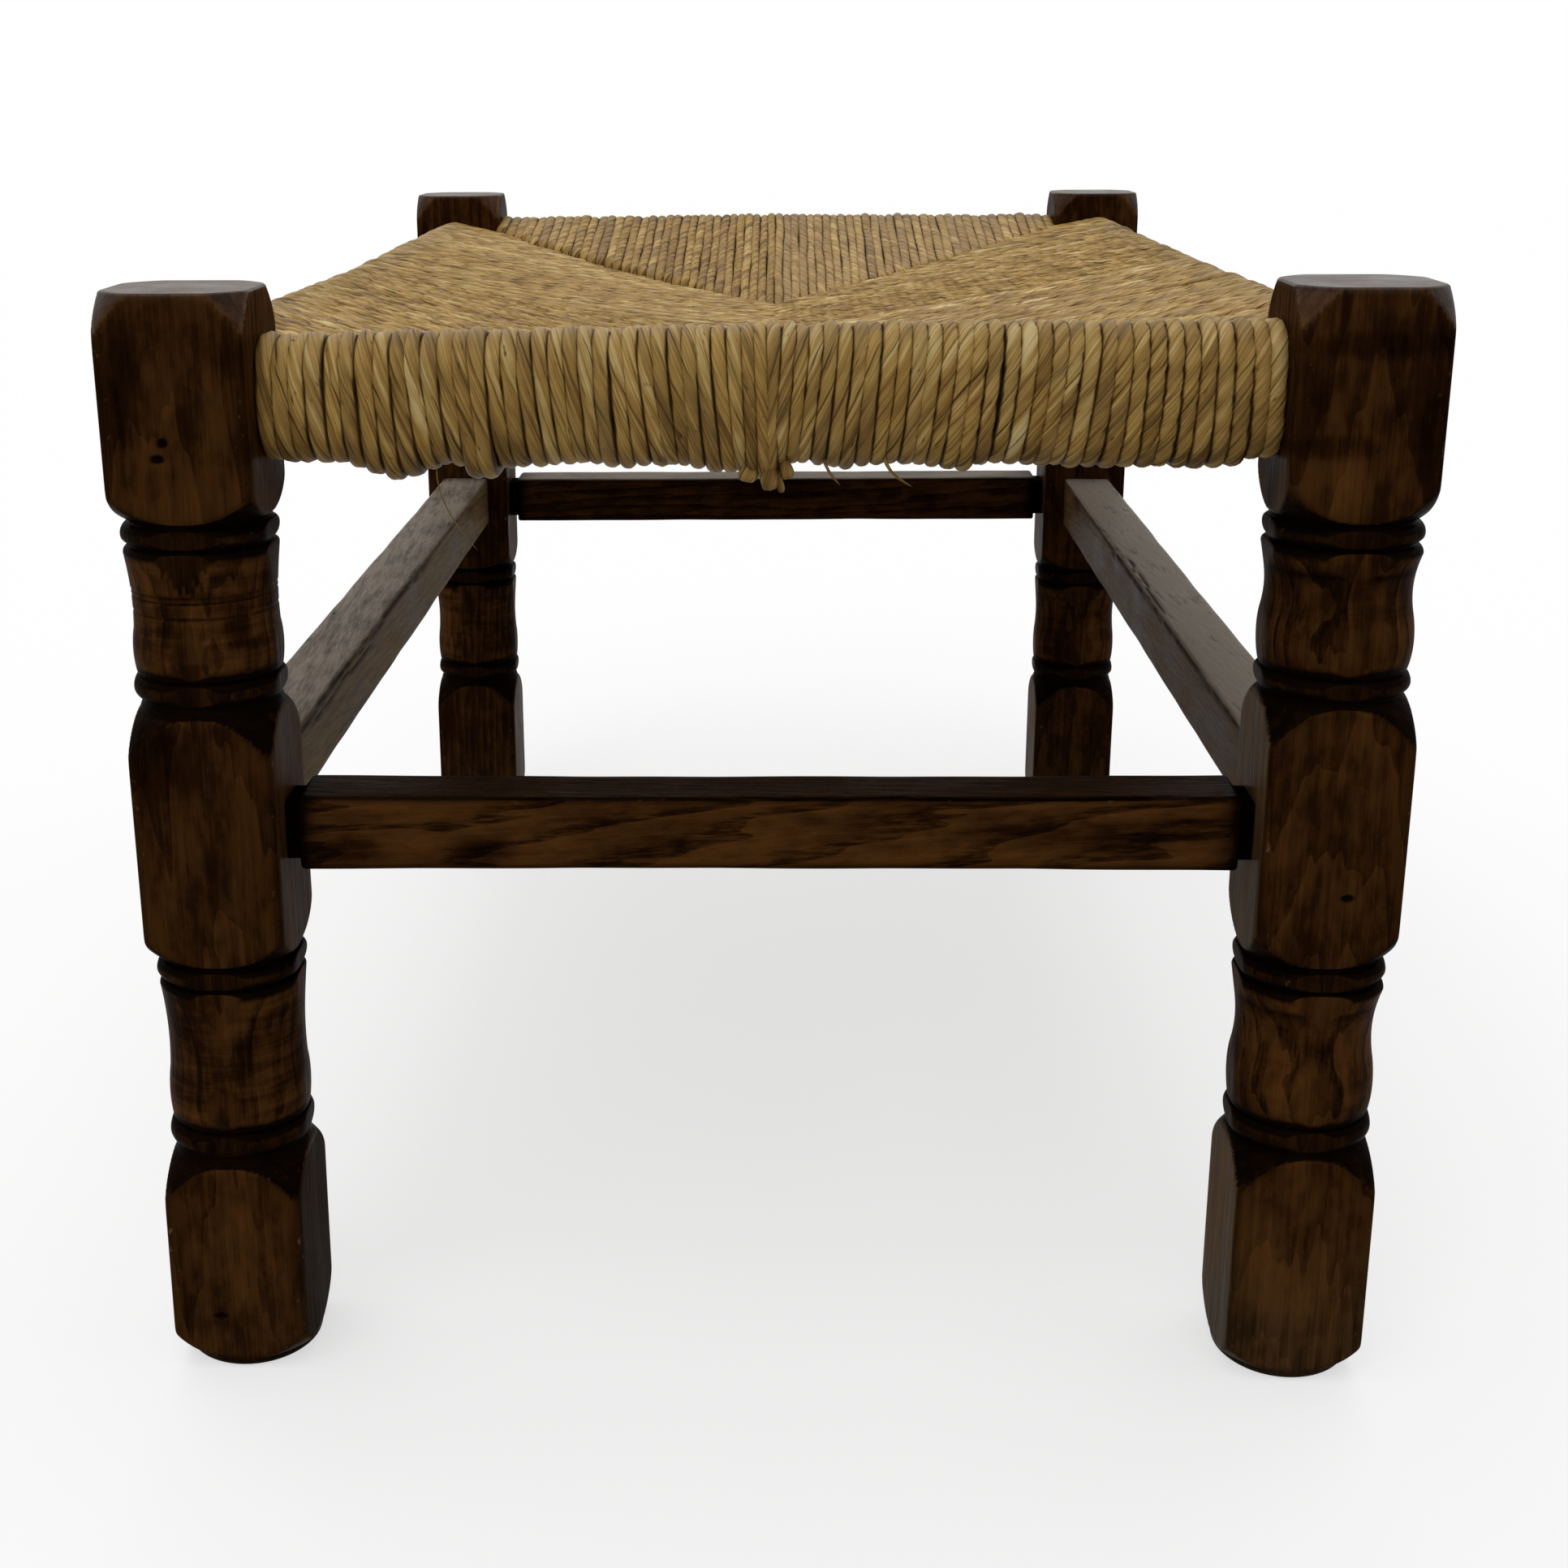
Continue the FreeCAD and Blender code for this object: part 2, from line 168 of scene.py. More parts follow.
def newMaterial(name):
    material = bpy.data.materials.new(name)
    material.use_nodes = True
    material.node_tree.nodes.clear()
    return material, partial(addNode, material.node_tree)


oakFinish = {
    "deep": "#090402",  # stain in grooves, pores and joints
    "dark": "#150802",  # stained late wood
    "middle": "#2a1708",  # stained face
    "honey": "#593819",  # where the stain is rubbed thin
    "worn": "#8a6a45",  # bare chips on the arrises, and painted glints on the beads
    "sheenBloom": "#706b63",  # varnish gone grey and dull on faces that look up, with painted sheen there
    "sheenDust": "#8a7350",  # the same on faces that look sideways, browner, painted sheen there too
    "ior": 1.03,  # varnish worn thin, well below a fresh coat
    "runOut": 0.0,  # radians between grain and edge
    "askew": 0.4,  # radians about the grain, so that no pattern lies along a face
    "stray": 3.6,  # how many rings a growth ring strays
    # mm across and along the grain
    "fine": (0.6, 24.0),  # the finest line that shows
    "streak": (2.4, 48.0),
    "blotch": (17.0, 32.0),
    "mottle": (3.6, 8.0),
    "warp": (18.0, 140.0),  # over which the growth rings stray
    "pore": (0.9, 9.0),  # open vessels, drawn wide so that they show
    "chip": (2.2, 3.5),
    "band": (28.0, 3.6),  # stain wiped round on the lathe
    "toolMark": (30.0, 0.7),  # rings left by the gouge
}


def makeOak(name, turn, finish):
    # Oak, sawn or turned, stained dark and varnished: growth rings with rows of dark open pores, under a blotchy
    # stain that lies deep in grooves and on end grain and thin on open faces, small bare chips on the arrises, a
    # worn satin gloss, and a grey where the varnish has dulled, which is also painted sheen. turn brings the
    # grain onto Z.
    material, add = newMaterial(name)
    grain = add("TexCoord")["Object"]
    for rotation in (turn, (finish["runOut"], finish["runOut"], finish["askew"])):
        grain = add("Mapping", {"Vector": grain, "Rotation": rotation})["Vector"]
    marks = []
    for mark in ("stain", "figureShade", "sheenBloom"):
        marks += add("SeparateXYZ", {0: add("Attribute", attribute_name=mark)["Vector"]})
    turnedMark, recess, wear, openMark, honeyMark, shadeMark, sheenBloomMark, sheenDustMark, _ = marks
    noise = []
    for pattern in ("fine", "streak", "blotch", "mottle", "warp", "pore", "chip", "band", "toolMark"):
        across, along = finish[pattern]
        size = (1 / (across * mm), 1 / (across * mm), 1 / (along * mm))
        cells = add("Mapping", {"Vector": grain, "Scale": size})["Vector"]
        noise.append(add("TexNoise", {"Vector": cells, "Scale": 1.0, "Detail": 3.0, "Roughness": 0.62})["Fac"])
    fine, streak, blotch, mottle, warp, pore, chip, band, toolMark = noise

    # Tone: weighted patterns, and on the turnings what the lathe left
    ring = add("Attribute", attribute_name="ring")["Fac"]
    ring = add("Math", {0: warp, 1: finish["stray"], 2: ring}, operation="MULTIPLY_ADD")[0]
    ring = add("Math", {0: ring}, operation="FRACT")[0]  # 0 to 1 over a year's growth
    lathe = add("Math", {0: blotch, 1: 0.18, 2: -0.35}, operation="MULTIPLY_ADD")[0]
    for value, weight in ((band, 0.46), (toolMark, 0.12)):
        lathe = add("Math", {0: value, 1: weight, 2: lathe}, operation="MULTIPLY_ADD")[0]
    tone = add("Math", {0: lathe, 1: turnedMark, 2: honeyMark}, operation="MULTIPLY_ADD")[0]
    for value, weight in ((fine, 0.17), (streak, 0.24), (blotch, 0.42), (mottle, 0.28), (ring, 0.08)):
        tone = add("Math", {0: value, 1: weight, 2: tone}, operation="MULTIPLY_ADD")[0]
    colour = add("ValToRGB", {"Fac": tone}, [
        (0.45, finish["dark"]), (0.82, finish["honey"]), (0.59, finish["middle"])])["Color"]

    # What lies over it: where each pattern starts to show, where it shows fully, and its share there
    patchy = add("Math", {0: blotch, 1: mottle}, operation="ADD")[0]
    shade = add("Math", {0: patchy, 1: 0.42, 2: shadeMark}, operation="MULTIPLY_ADD")[0]
    stain = add("Math", {0: patchy, 1: 0.5, 2: recess}, operation="MULTIPLY_ADD")[0]
    over = []
    for value, start, full, most in (
            (fine, 0.62, 0.74, 0.42), (pore, 0.38, 0.58, 1.0), (shade, 0.48, 0.92, 0.85),
            (stain, 0.64, 1.0, 0.96), (chip, 0.64, 0.74, 0.5)):
        over.append(add("ValToRGB", {"Fac": value}, [(start, 0), (full, most)])["Color"])
    pore, dash, shade, stain, chip = over
    gap = add("ValToRGB", {"Fac": ring}, [(0.0, 0.5), (1.0, 0), (0.06, 1), (0.20, 1), (0.36, 0)])["Color"]
    for value in (dash, openMark):
        gap = add("Math", {0: gap, 1: value}, operation="MULTIPLY")[0]
    chip = add("Math", {0: wear, 1: chip}, operation="MULTIPLY")[0]
    # Painted sheen: a mottled grey over faces that look up or sideways, standing also for dulled varnish
    sheenBloom = blotch
    for value in (streak, fine):
        sheenBloom = add("Math", {0: sheenBloom, 1: value}, operation="ADD")[0]
    sheenBloom = add("MapRange", {
        "Value": sheenBloom, "From Min": 1.1, "From Max": 1.8, "To Min": 0.2, "To Max": 1.3})["Result"]
    sheenBloom = add("Math", {0: sheenBloom, 1: sheenBloomMark}, operation="MULTIPLY", use_clamp=True)[0]
    sheenGrey = add("Mix", {0: sheenDustMark, 6: finish["sheenBloom"], 7: finish["sheenDust"]}, data_type="RGBA")[2]
    deep, worn = finish["deep"], finish["worn"]
    for share, layer in ((pore, deep), (gap, deep), (shade, deep), (stain, deep), (sheenBloom, sheenGrey), (chip, worn)):
        colour = add("Mix", {0: share, 6: colour, 7: layer}, data_type="RGBA")[2]

    gloss = add("MapRange", {
        "Value": blotch, "From Min": 0.3, "From Max": 0.7, "To Min": 0.26, "To Max": 0.44})["Result"]
    height = streak
    for value, weight in ((fine, -0.5), (mottle, 0.5), (gap, -0.9)):
        height = add("Math", {0: value, 1: weight, 2: height}, operation="MULTIPLY_ADD")[0]
    bump = add("Bump", {"Height": height, "Strength": 0.35, "Distance": 0.0006})["Normal"]
    shader = add("BsdfPrincipled", {
        "Base Color": colour, "Roughness": gloss, "IOR": finish["ior"], "Normal": bump})["BSDF"]
    add("OutputMaterial", {"Surface": shader})
    return material


# Turns that bring the grain onto Z
upright, across, along = (0, 0, 0), (0, math.radians(-90), 0), (math.radians(90), 0, 0)
oakUpright = makeOak("oak_turned_stained", upright, oakFinish)
# Tops polished by hands reflect more, a scuffed foot less.
oakHandled = makeOak("oak_turned_stained_hand_polished", upright, dict(oakFinish, ior=1.17))
# On these faces the colour also carries painted shade.
oakDull = makeOak("oak_turned_stained_scuffed_dull", upright, dict(oakFinish, ior=1.016))
slanted = dict(oakFinish, sheenBloom="#948a7e", runOut=math.radians(3.5))
oakAcross = makeOak("oak_sawn_stained_across", across, slanted)
oakAlong = makeOak("oak_sawn_stained_along", along, slanted)

railFinish = dict(
    oakFinish, deep="#3a2614", dark="#6a4d2e", middle="#8c6b45", honey="#a78658", worn="#b89b70", ior=1.3)
railAcross = makeOak("oak_rough_bare_across", across, railFinish)
railAlong = makeOak("oak_rough_bare_along", along, railFinish)

rushFinish = {
    "shade": "#2c1b09",  # between the leaves
    "brown": "#64481d",
    "tan": "#97743a",
    "straw": "#b8944e",
    "pale": "#dcc48a",  # dry leaf edges
    "aged": "#85734f",  # greyed where hands and dust reach
    "ior": 1.2,  # dry wax, a weak sheen
    "rough": 0.46,
    "leaves": 3,  # twisted together
    # cells in half the width of a cord, and mm along it
    "rib": (3.4, 26.0),
    "hair": (9.0, 34.0),
    "patch": (0.9, 9.0),
    "fleck": (1.6, 5.0),
    "wander": (0.3, 22.0),  # how a leaf's edge strays
    "fade": (0.9, 14.0),
}


def makeRush(name, finish):
    # Bulrush leaves, dried, damped and twisted by hand: flat waxy leaves with fine ribs along them, each leaf
    # a different straw or brown, a thin dark slit of painted shade where one leaf's edge lies over the next,
    # brown flecks, painted shade where a cord lies against its neighbour and a soft sheen along its crown.
    material, add = newMaterial(name)
    fibre = add("Attribute", attribute_name="fibre")["Vector"]
    leaf = add("Attribute", attribute_name="leaf")["Vector"]
    leafTone, beside, age = add("SeparateXYZ", {0: leaf})
    noise = []
    for pattern in ("rib", "hair", "patch", "fleck", "wander", "fade"):
        across, along = finish[pattern]
        size = (across, across, 1 / (along * mm))
        cells = add("Mapping", {"Vector": fibre, "Scale": size})["Vector"]
        noise.append(add("TexNoise", {"Vector": cells, "Scale": 1.0, "Detail": 2.0, "Roughness": 0.6})["Fac"])
    rib, hair, patch, fleck, wander, fade = noise

    section = add("SeparateXYZ", {0: fibre})
    turn = add("Math", {0: section[1], 1: section[0]}, operation="ARCTAN2")[0]
    turn = add("Math", {0: turn, 1: finish["leaves"] / (2 * math.pi), 2: wander}, operation="MULTIPLY_ADD")[0]
    across = add("Math", {0: turn}, operation="FRACT")[0]  # 0 to 1 over each leaf
    # Painted shade in the slit where one leaf's edge lies over the next
    slit = add("ValToRGB", {"Fac": across}, [(0.0, 1), (1.0, 0.9), (0.04, 0.9), (0.10, 0), (0.955, 0)])["Color"]
    # A pale leaf edge past the slit, with a painted highlight on the step there
    lip = add("ValToRGB", {"Fac": across}, [(0.0, 0), (1.0, 0.1), (0.14, 0.8), (0.34, 1), (0.72, 0.55)])["Color"]
    tone = leafTone
    for value, weight in ((rib, 0.85), (hair, 0.55), (patch, 0.50), (lip, 0.14)):
        tone = add("Math", {0: value, 1: weight, 2: tone}, operation="MULTIPLY_ADD")[0]
    colour = add("ValToRGB", {"Fac": tone}, [
        (0.34, finish["brown"]), (1.0, finish["pale"]), (0.56, finish["tan"]), (0.76, finish["straw"])])["Color"]
    fleck = add("ValToRGB", {"Fac": fleck}, [(0.675, 0), (0.755, 0.8)])["Color"]
    fade = add("MapRange", {
        "Value": fade, "From Min": 0.42, "From Max": 0.60, "To Min": 0.05, "To Max": 0.85})["Result"]
    slit = add("Math", {0: slit, 1: fade}, operation="MULTIPLY")[0]
    # Painted shade where a cord's side faces its neighbour
    beside = add("Math", {0: beside}, operation="ABSOLUTE")[0]
    besideShade = add("ValToRGB", {"Fac": beside}, [(0.62, 0), (0.80, 0.9)])["Color"]
    aged, shade = finish["aged"], finish["shade"]
    for share, layer in ((age, aged), (fleck, shade), (slit, shade), (besideShade, shade)):
        colour = add("Mix", {0: share, 6: colour, 7: layer}, data_type="RGBA")[2]
    height = lip
    for value, weight in ((rib, 0.9), (hair, 0.5)):
        height = add("Math", {0: value, 1: weight, 2: height}, operation="MULTIPLY_ADD")[0]
    bump = add("Bump", {"Height": height, "Strength": 0.6, "Distance": 0.0005})["Normal"]
    shader = add("BsdfPrincipled", {
        "Base Color": colour, "Roughness": finish["rough"], "IOR": finish["ior"], "Normal": bump})["BSDF"]
    add("OutputMaterial", {"Surface": shader})
    return material


rushTwisted = makeRush("rush_twisted_dry", rushFinish)
# Packing under the cords, coloured darker, which paints the shade in the gaps between them
looseFinish = dict(rushFinish, tan="#80653b", straw="#937545", pale="#a98b58", rough=0.7)
rushLoose = makeRush("rush_loose_packing", looseFinish)
print("materials:", len(bpy.data.materials))


# Legs

legShape = {
    "sides": 184,
    "cornerRound": 20.0,  # higher is sharper
    "edgeWear": 0.3,  # mm, softness where flat meets turning
    "reach": 28.0,  # outside the stock's corners
    "blockFrom": 20.9,  # rows of a larger radius belong to the square blocks
    "latheTop": 262.0,  # what the lathe left on the wood ends here
    "latheFoot": 30.0,  # and here
    "topRadius": 21.5,
    "topCut": 18.0,  # how far down the top's corners are turned off
    "bevel": 0.9,  # height of the top's bevel
    "grooveRadius": 18.0,
    "grooveWidth": 0.9,
    "lip": 0.1,  # how far a groove's wall slopes
    "shoulderRoot": 19.6,  # radius at the end of a block's lower rounding
    "beadRoot": 19.0,
    "firstCrown": 1.75,
    "secondCrown": 1.25,
    "waistLip": 1.9,  # height of the rounding at a waist's rim
    "grooveFrom": 20.4,  # radius that the depth of a groove is taken from
    "arch": 18.0,
    "toe": 17.0,  # height of the foot's rounding
    "toeEnd": (19.2, 3.2),  # radius and height where it turns under
    "soleRadius": 16.2,
    "lineDepth": 0.25,  # scribed rings
    "lineWidth": 0.42,
    "facing": 0.72,  # cosine within which a point faces one way
    # shares of the radius that the rows on the top and on the sole are drawn in to
    "topDrawn": (0.02, 0.2, 0.4, 0.6, 0.75, 0.88, 0.945, 0.968, 0.988, 0.998),
    "soleDrawn": (1.0, 0.85, 0.6, 0.4, 0.2, 0.02),
}

# Each leg was turned by eye. A turning has the height of its top groove, then the heights of bead, waist and
# bead, the radius of the waist's rim, how far it is hollowed, where it swells again (share of the waist,
# radius) and how far. shoulder: height of a block's lower corner rounding. land: from a groove down to the arch.
# On the face that looks forward, as mm across and up, half width and half height: nicks, with their depth, and
# patches of thicker or thinner stain, with how much lighter. lines: scribed rings, as shares of the upper waist.
# flats: dark flats left on a waist, as middle height, half height and depth of stain. foot: how far it stands
# off
# the axis. honey: how thin the stain is. open: how open the pores are, most on the turnings.
# wiped: how far stain was wiped round them. pith: see growthRings. sheenBloom: how grey the side is that
# looks across the stool, painted sheen and dulled varnish. dull: the height below which that side has
# painted shade, with little gloss.
plainLeg = {
    "foot": (0.0, 0.0), "shoulder": 13.0, "land": 3.0, "lines": (), "flats": (), "nicks": (), "patches": (),
    "honey": 0.03, "sheenBloom": 0.12, "dull": 0,
}
legTurnings = {
    "front_left_leg": dict(
        plainLeg, at=(-1, -1), height=300.7, foot=(-1.0, 0.0), shoulder=14.0, land=2.4,
        upper=(242.6, 6.0, 34.6, 6.6, 20.2, 0.65, 0.66, 18.95, 0.62),
        lower=(122.2, 6.0, 42.4, 7.3, 20.0, 0.7, 0.66, 18.9, 0.6),
        lines=(0.36, 0.40, 0.52), flats=((231, 6, 0.36), (204, 3, 0.30)),
        honey=0.06, open=0.45, wiped=1.0, pith=(-6, 40, 0.01, 0.05), sheenBloom=0.05, dull=110,
        nicks=((-3, 264, 1.6, 1.3, 1.0), (-4.5, 260, 1.9, 1.0, 0.9), (-5, 17, 2.2, 0.9, 0.6)),
        patches=((-15, 280, 5, 22, -0.08), (-4, 270, 6, 14, 0.06), (-10, 177, 8, 10, -0.08),
                 (0, 165, 20, 28, -0.04), (0, 96, 22, 20, -0.05), (5, 35, 10, 18, 0.05))),
    "front_right_leg": dict(
        plainLeg, at=(1, -1), height=301.8, shoulder=17.0, land=1.0,
        upper=(243.4, 5.8, 33.6, 5.7, 20.7, 1.35, 0.58, 19.35, 0.95),
        lower=(124.4, 6.3, 39.9, 7.2, 20.6, 1.45, 0.60, 19.0, 0.9),
        open=0.72, wiped=0.3, pith=(-3, 26, 0.02, 0.09), sheenBloom=0.25, nicks=((4, 145, 1.6, 0.8, 0.5),),
        patches=((-9, 254, 9, 8, 0.08), (-8, 263, 10, 3, -0.10), (16, 275, 5, 24, -0.08), (2, 288, 16, 3, -0.10),
                 (-12, 150, 6, 16, 0.06), (-2, 98, 20, 18, 0.09), (-2, 42, 15, 24, 0.11))),
    "back_left_leg": dict(
        plainLeg, at=(-1, 1), height=300.0, lines=(0.45,), flats=((208, 5, 0.2),),
        upper=(242.0, 5.6, 33.2, 5.6, 20.4, 0.95, 0.64, 19.1, 0.8),
        lower=(123.6, 6.6, 41.0, 6.8, 20.4, 0.95, 0.64, 19.1, 0.8),
        open=0.4, wiped=0.8, pith=(-30, -30, 0.02, 0.02)),
    "back_right_leg": dict(
        plainLeg, at=(1, 1), height=300.4,
        upper=(242.8, 5.8, 32.6, 5.9, 20.6, 1.1, 0.62, 19.2, 0.85),
        lower=(124.0, 6.8, 41.0, 6.6, 20.5, 1.1, 0.62, 19.2, 0.85),
        open=0.5, wiped=0.5, pith=(10, 36, -0.02, 0.04)),
}


def arcRows(start, end, crown, count):
    # A circular arc from start to end, bulging by crown to the left of the way on, without its end point.
    start, end = np.array(start, float), np.array(end, float)
    chord = np.hypot(*(end - start))
    radius = chord ** 2 / (8 * abs(crown)) + abs(crown) / 2
    half = 2 * math.atan2(2 * abs(crown), chord)
    angle = np.linspace(-half, half, count, endpoint=False)
    along = 0.5 + radius * np.sin(angle) / chord
    bulge = (radius * np.cos(angle) - radius + abs(crown)) * np.sign(crown)
    left = np.array([-(end - start)[1], (end - start)[0]]) / chord
    return start + along[:, None] * (end - start) + bulge[:, None] * left


def lineRows(start, end, count):
    return np.linspace(start, end, count, endpoint=False)


def turningRows(leg, top, first, waist, second, rim, hollow, swellShare, swellRadius, swell):
    # Rows of radius and height down one turning: shoulder, groove, bead, groove, hollowed and swelling
    # waist, groove, bead, groove, arch.
    s = legShape
    deep, root, cut, lip, reach = s["grooveRadius"], s["beadRoot"], s["grooveWidth"], s["lip"], s["reach"]
    g2 = top - first  # heights of the next three grooves
    g3 = g2 - waist
    g4 = g3 - second
    archTop = g4 - cut - leg["land"]
    shoulderEnd = (s["shoulderRoot"], top + 0.8)
    waistRim = (rim, g2 - cut - s["waistLip"])
    swellTop = (swellRadius, g2 - waist * swellShare)

    def grooveRows(at):
        return np.concatenate([
            lineRows((root, at + lip), (deep, at), 2),
            lineRows((deep, at), (deep, at - cut), 2),
            lineRows((deep, at - cut), (root, at - cut - lip), 2)])

    return np.concatenate([
        arcRows((reach, top + leg["shoulder"]), shoulderEnd, 1.8, 20),
        lineRows(shoulderEnd, (deep, top), 3),
        grooveRows(top)[2:],
        arcRows((root, top - cut - lip), (root, g2 + lip), s["firstCrown"], 14),
        grooveRows(g2),
        arcRows((root, g2 - cut - lip), waistRim, 0.5, 6),
        arcRows(waistRim, swellTop, -hollow, 40),
        arcRows(swellTop, (root, g3 + lip), swell, 26),
        grooveRows(g3),
        arcRows((root, g3 - cut - lip), (root, g4 + lip), s["secondCrown"], 14),
        grooveRows(g4)[:2],
        lineRows((deep, g4), (deep, g4 - cut), 3),
        lineRows((deep, g4 - cut), (root, archTop), 6),
        arcRows((root, archTop), (reach, archTop - s["arch"]), 1.5, 24),
    ])


def makeLeg(name, leg):
    # A point lies at the angle's distance to the rounded square, or at the row's turned radius where that is
    # less, with a soft change between the two; rows on the top and the sole are drawn in to the axis.
    s = legShape
    height, half = leg["height"], stool["block"] / 2
    reach, rim, sole = s["reach"], s["topRadius"], s["soleRadius"]
    topEnd, bevelEnd = height - s["topCut"], height - s["bevel"]
    upperRows, lowerRows = turningRows(leg, *leg["upper"]), turningRows(leg, *leg["lower"])
    rows = np.concatenate([
        lineRows((rim, height), (rim, height), len(s["topDrawn"]) - 2),
        lineRows((rim, height - 0.3), (rim, bevelEnd), 2),
        arcRows((rim, bevelEnd), (reach, topEnd), 1.0, 22),
        lineRows((reach, topEnd), (reach, upperRows[0, 1]), 26), upperRows,
        lineRows((reach, upperRows[-1, 1] - 0.9), (reach, lowerRows[0, 1]), 30), lowerRows,
        lineRows((reach, lowerRows[-1, 1] - 0.9), (reach, s["toe"]), 22),
        arcRows((reach, s["toe"]), s["toeEnd"], 1.6, 18),
        arcRows(s["toeEnd"], (sole, 0), 0.7, 10),
        lineRows((sole, 0), (sole, 0), len(s["soleDrawn"])),
    ])
    drawn = np.ones(len(rows))
    drawn[:len(s["topDrawn"])] = s["topDrawn"]
    drawn[-len(s["soleDrawn"]):] = s["soleDrawn"]
    radius, level = rows[:, 0].copy(), rows[:, 1]
    up = level[:, None]
    scribed = np.zeros_like(level)
    for share in leg["lines"]:
        line = leg["upper"][0] - leg["upper"][1] - share * leg["upper"][2]
        scribed += np.exp(-((level - line) / s["lineWidth"]) ** 2)
    radius -= s["lineDepth"] * scribed
    angle = squareAngles(s["sides"])
    square = half * squareReach(angle, s["cornerRound"])
    phase = chance.uniform(0, 2 * np.pi, 6)
    ripple = sum(0.04 * np.sin(angle * k + up / (11 + 7 * k) + phase[k]) for k in range(1, 6))
    wear = s["edgeWear"]
    stock, cut = np.broadcast_arrays(square + ripple, radius[:, None] + ripple * 0.4)
    least = np.minimum(stock, cut)
    out = least - wear * np.log(np.exp(-(stock - least) / wear) + np.exp(-(cut - least) / wear))
    front = smoothStep(-0.25, -0.45, np.sin(angle))
    sideways = out * np.cos(angle)
    nicked = np.zeros_like(out)
    for across, high, wide, tall, depth in leg["nicks"]:
        dent = np.exp(-((sideways - across) / wide) ** 2 - ((up - high) / tall) ** 2) * front
        out -= depth * dent
        nicked = np.maximum(nicked, dent)
    honey = leg["honey"] + patchTone(leg["patches"], sideways, up, 0.5) * front
    out = out * drawn[:, None]
    points = vectors(out * np.cos(angle), out * np.sin(angle), up)
    points[..., :2] += np.array(leg["foot"]) * smoothStep(130, 0, level)[:, None, None]

    # Where stain lies deep: in grooves and near them, on end grain, flats, nicks, beads and scribed rings, over
    # the sole and under the arches
    takenOff = stock - cut  # mm that the lathe took off
    onTurning, onFlat = smoothStep(0.0, 0.25, takenOff), takenOff < 0
    onLathe = (up < s["latheTop"]) & (up > s["latheFoot"])
    inBlock = (radius > s["blockFrom"])[:, None]
    rimNear = np.where(np.abs(up - level) < 4.0, np.minimum(radius, s["grooveFrom"]), 0).max(1)
    toGroove = np.abs(up - level[radius < s["grooveRadius"] + 0.06]).min(1)[:, None]
    slope = np.abs(np.gradient(radius)) / np.maximum(np.hypot(np.gradient(radius), np.gradient(level)), 1e-6)
    groove = smoothStep(0.3, 2.0, rimNear - radius)[:, None] * onLathe * smoothStep(-0.4, 0.3, takenOff)
    band = 0.75 * np.exp(-(toGroove / 2.2) ** 2) * onLathe * smoothStep(-0.5, 0.2, takenOff)
    endGrain = 0.8 * slope[:, None] ** 1.3 * onTurning * onLathe
    ragged = 0.22 * np.sin(angle * 41 + up / 1.7 + phase[0]) + 0.18 * np.sin(angle * 67 - up / 1.1 + phase[1])
    leftFlat = np.zeros_like(out)
    for middle, tall, depth in leg["flats"]:
        within = smoothStep(1.4, 0.8, np.abs(up - middle) / tall)
        leftFlat += depth * smoothStep(0.2, -0.1, takenOff + ragged) * within
    bead, arch = np.zeros_like(level), np.zeros_like(level)
    for top, first, waist, second, *_ in (leg["upper"], leg["lower"]):
        waistTop, waistEnd = top - first, top - first - waist
        below = waistEnd - second
        archTop = below - leg["land"]
        endGrain[(level < waistTop) & (level > waistEnd)] *= 0.35
        bead[(level < top) & (level > waistTop) | (level < waistEnd) & (level > below)] = 0.38
        arch = np.maximum(arch, 0.5 * smoothStep(archTop - 15, archTop - 8, level) * (level < below))
    recess = highest(groove, band, endGrain, leftFlat, nicked, bead[:, None], 0.42 * scribed[:, None],
                     0.42 * smoothStep(7, 2, up), arch[:, None] * onTurning)

    # Where chips show: along the arrises, round the blocks' turned edges and on the beads, where they are also
    # painted glints
    corner = np.exp(-((square - square.max()) / 1.2) ** 2) * onFlat
    blockEdge = np.exp(-(takenOff / 0.4) ** 2) * inBlock
    beadChipGlint = 0.6 * ((bead > 0) * smoothStep(20.0, 20.5, radius))[:, None] * onTurning
    edge = highest(blockEdge, corner, beadChipGlint) * (1 - groove) * (drawn > 0.99)[:, None]
    stain = vectors(leg["wiped"] * onTurning * onLathe, recess, edge)

    # Open pores, tone, the darker borders of the faces, painted shade low on the inner side, and the grey that
    # is painted sheen and dulled varnish
    toArris = half - np.minimum(np.abs(square * np.cos(angle)), np.abs(square * np.sin(angle)))
    border = np.exp(-np.abs(takenOff) / 1.2) * (onLathe & inBlock)
    x, y = leg["at"]
    inner = (-x * np.cos(angle) > s["facing"]) & inBlock & onFlat
    dull = inner & (up < leg["dull"])
    # Painted shade: below dull, the inner side of the leg is darker
    shade = 0.26 * np.maximum(np.exp(-toArris / 3.0) * onFlat, border) + 0.42 * dull
    topCut = onTurning * (up > topEnd)
    # Painted highlight along the edge of the top's turned corners, where the stain is also rubbed thin
    honey = honey + 0.07 * np.exp(-(takenOff / 0.7) ** 2) * (up > topEnd)
    openGrain = leg["open"] * (0.22 + 0.78 * onTurning * smoothStep(0.5, 5, toGroove) * onLathe)
    figureShade = vectors(openGrain, honey, shade)
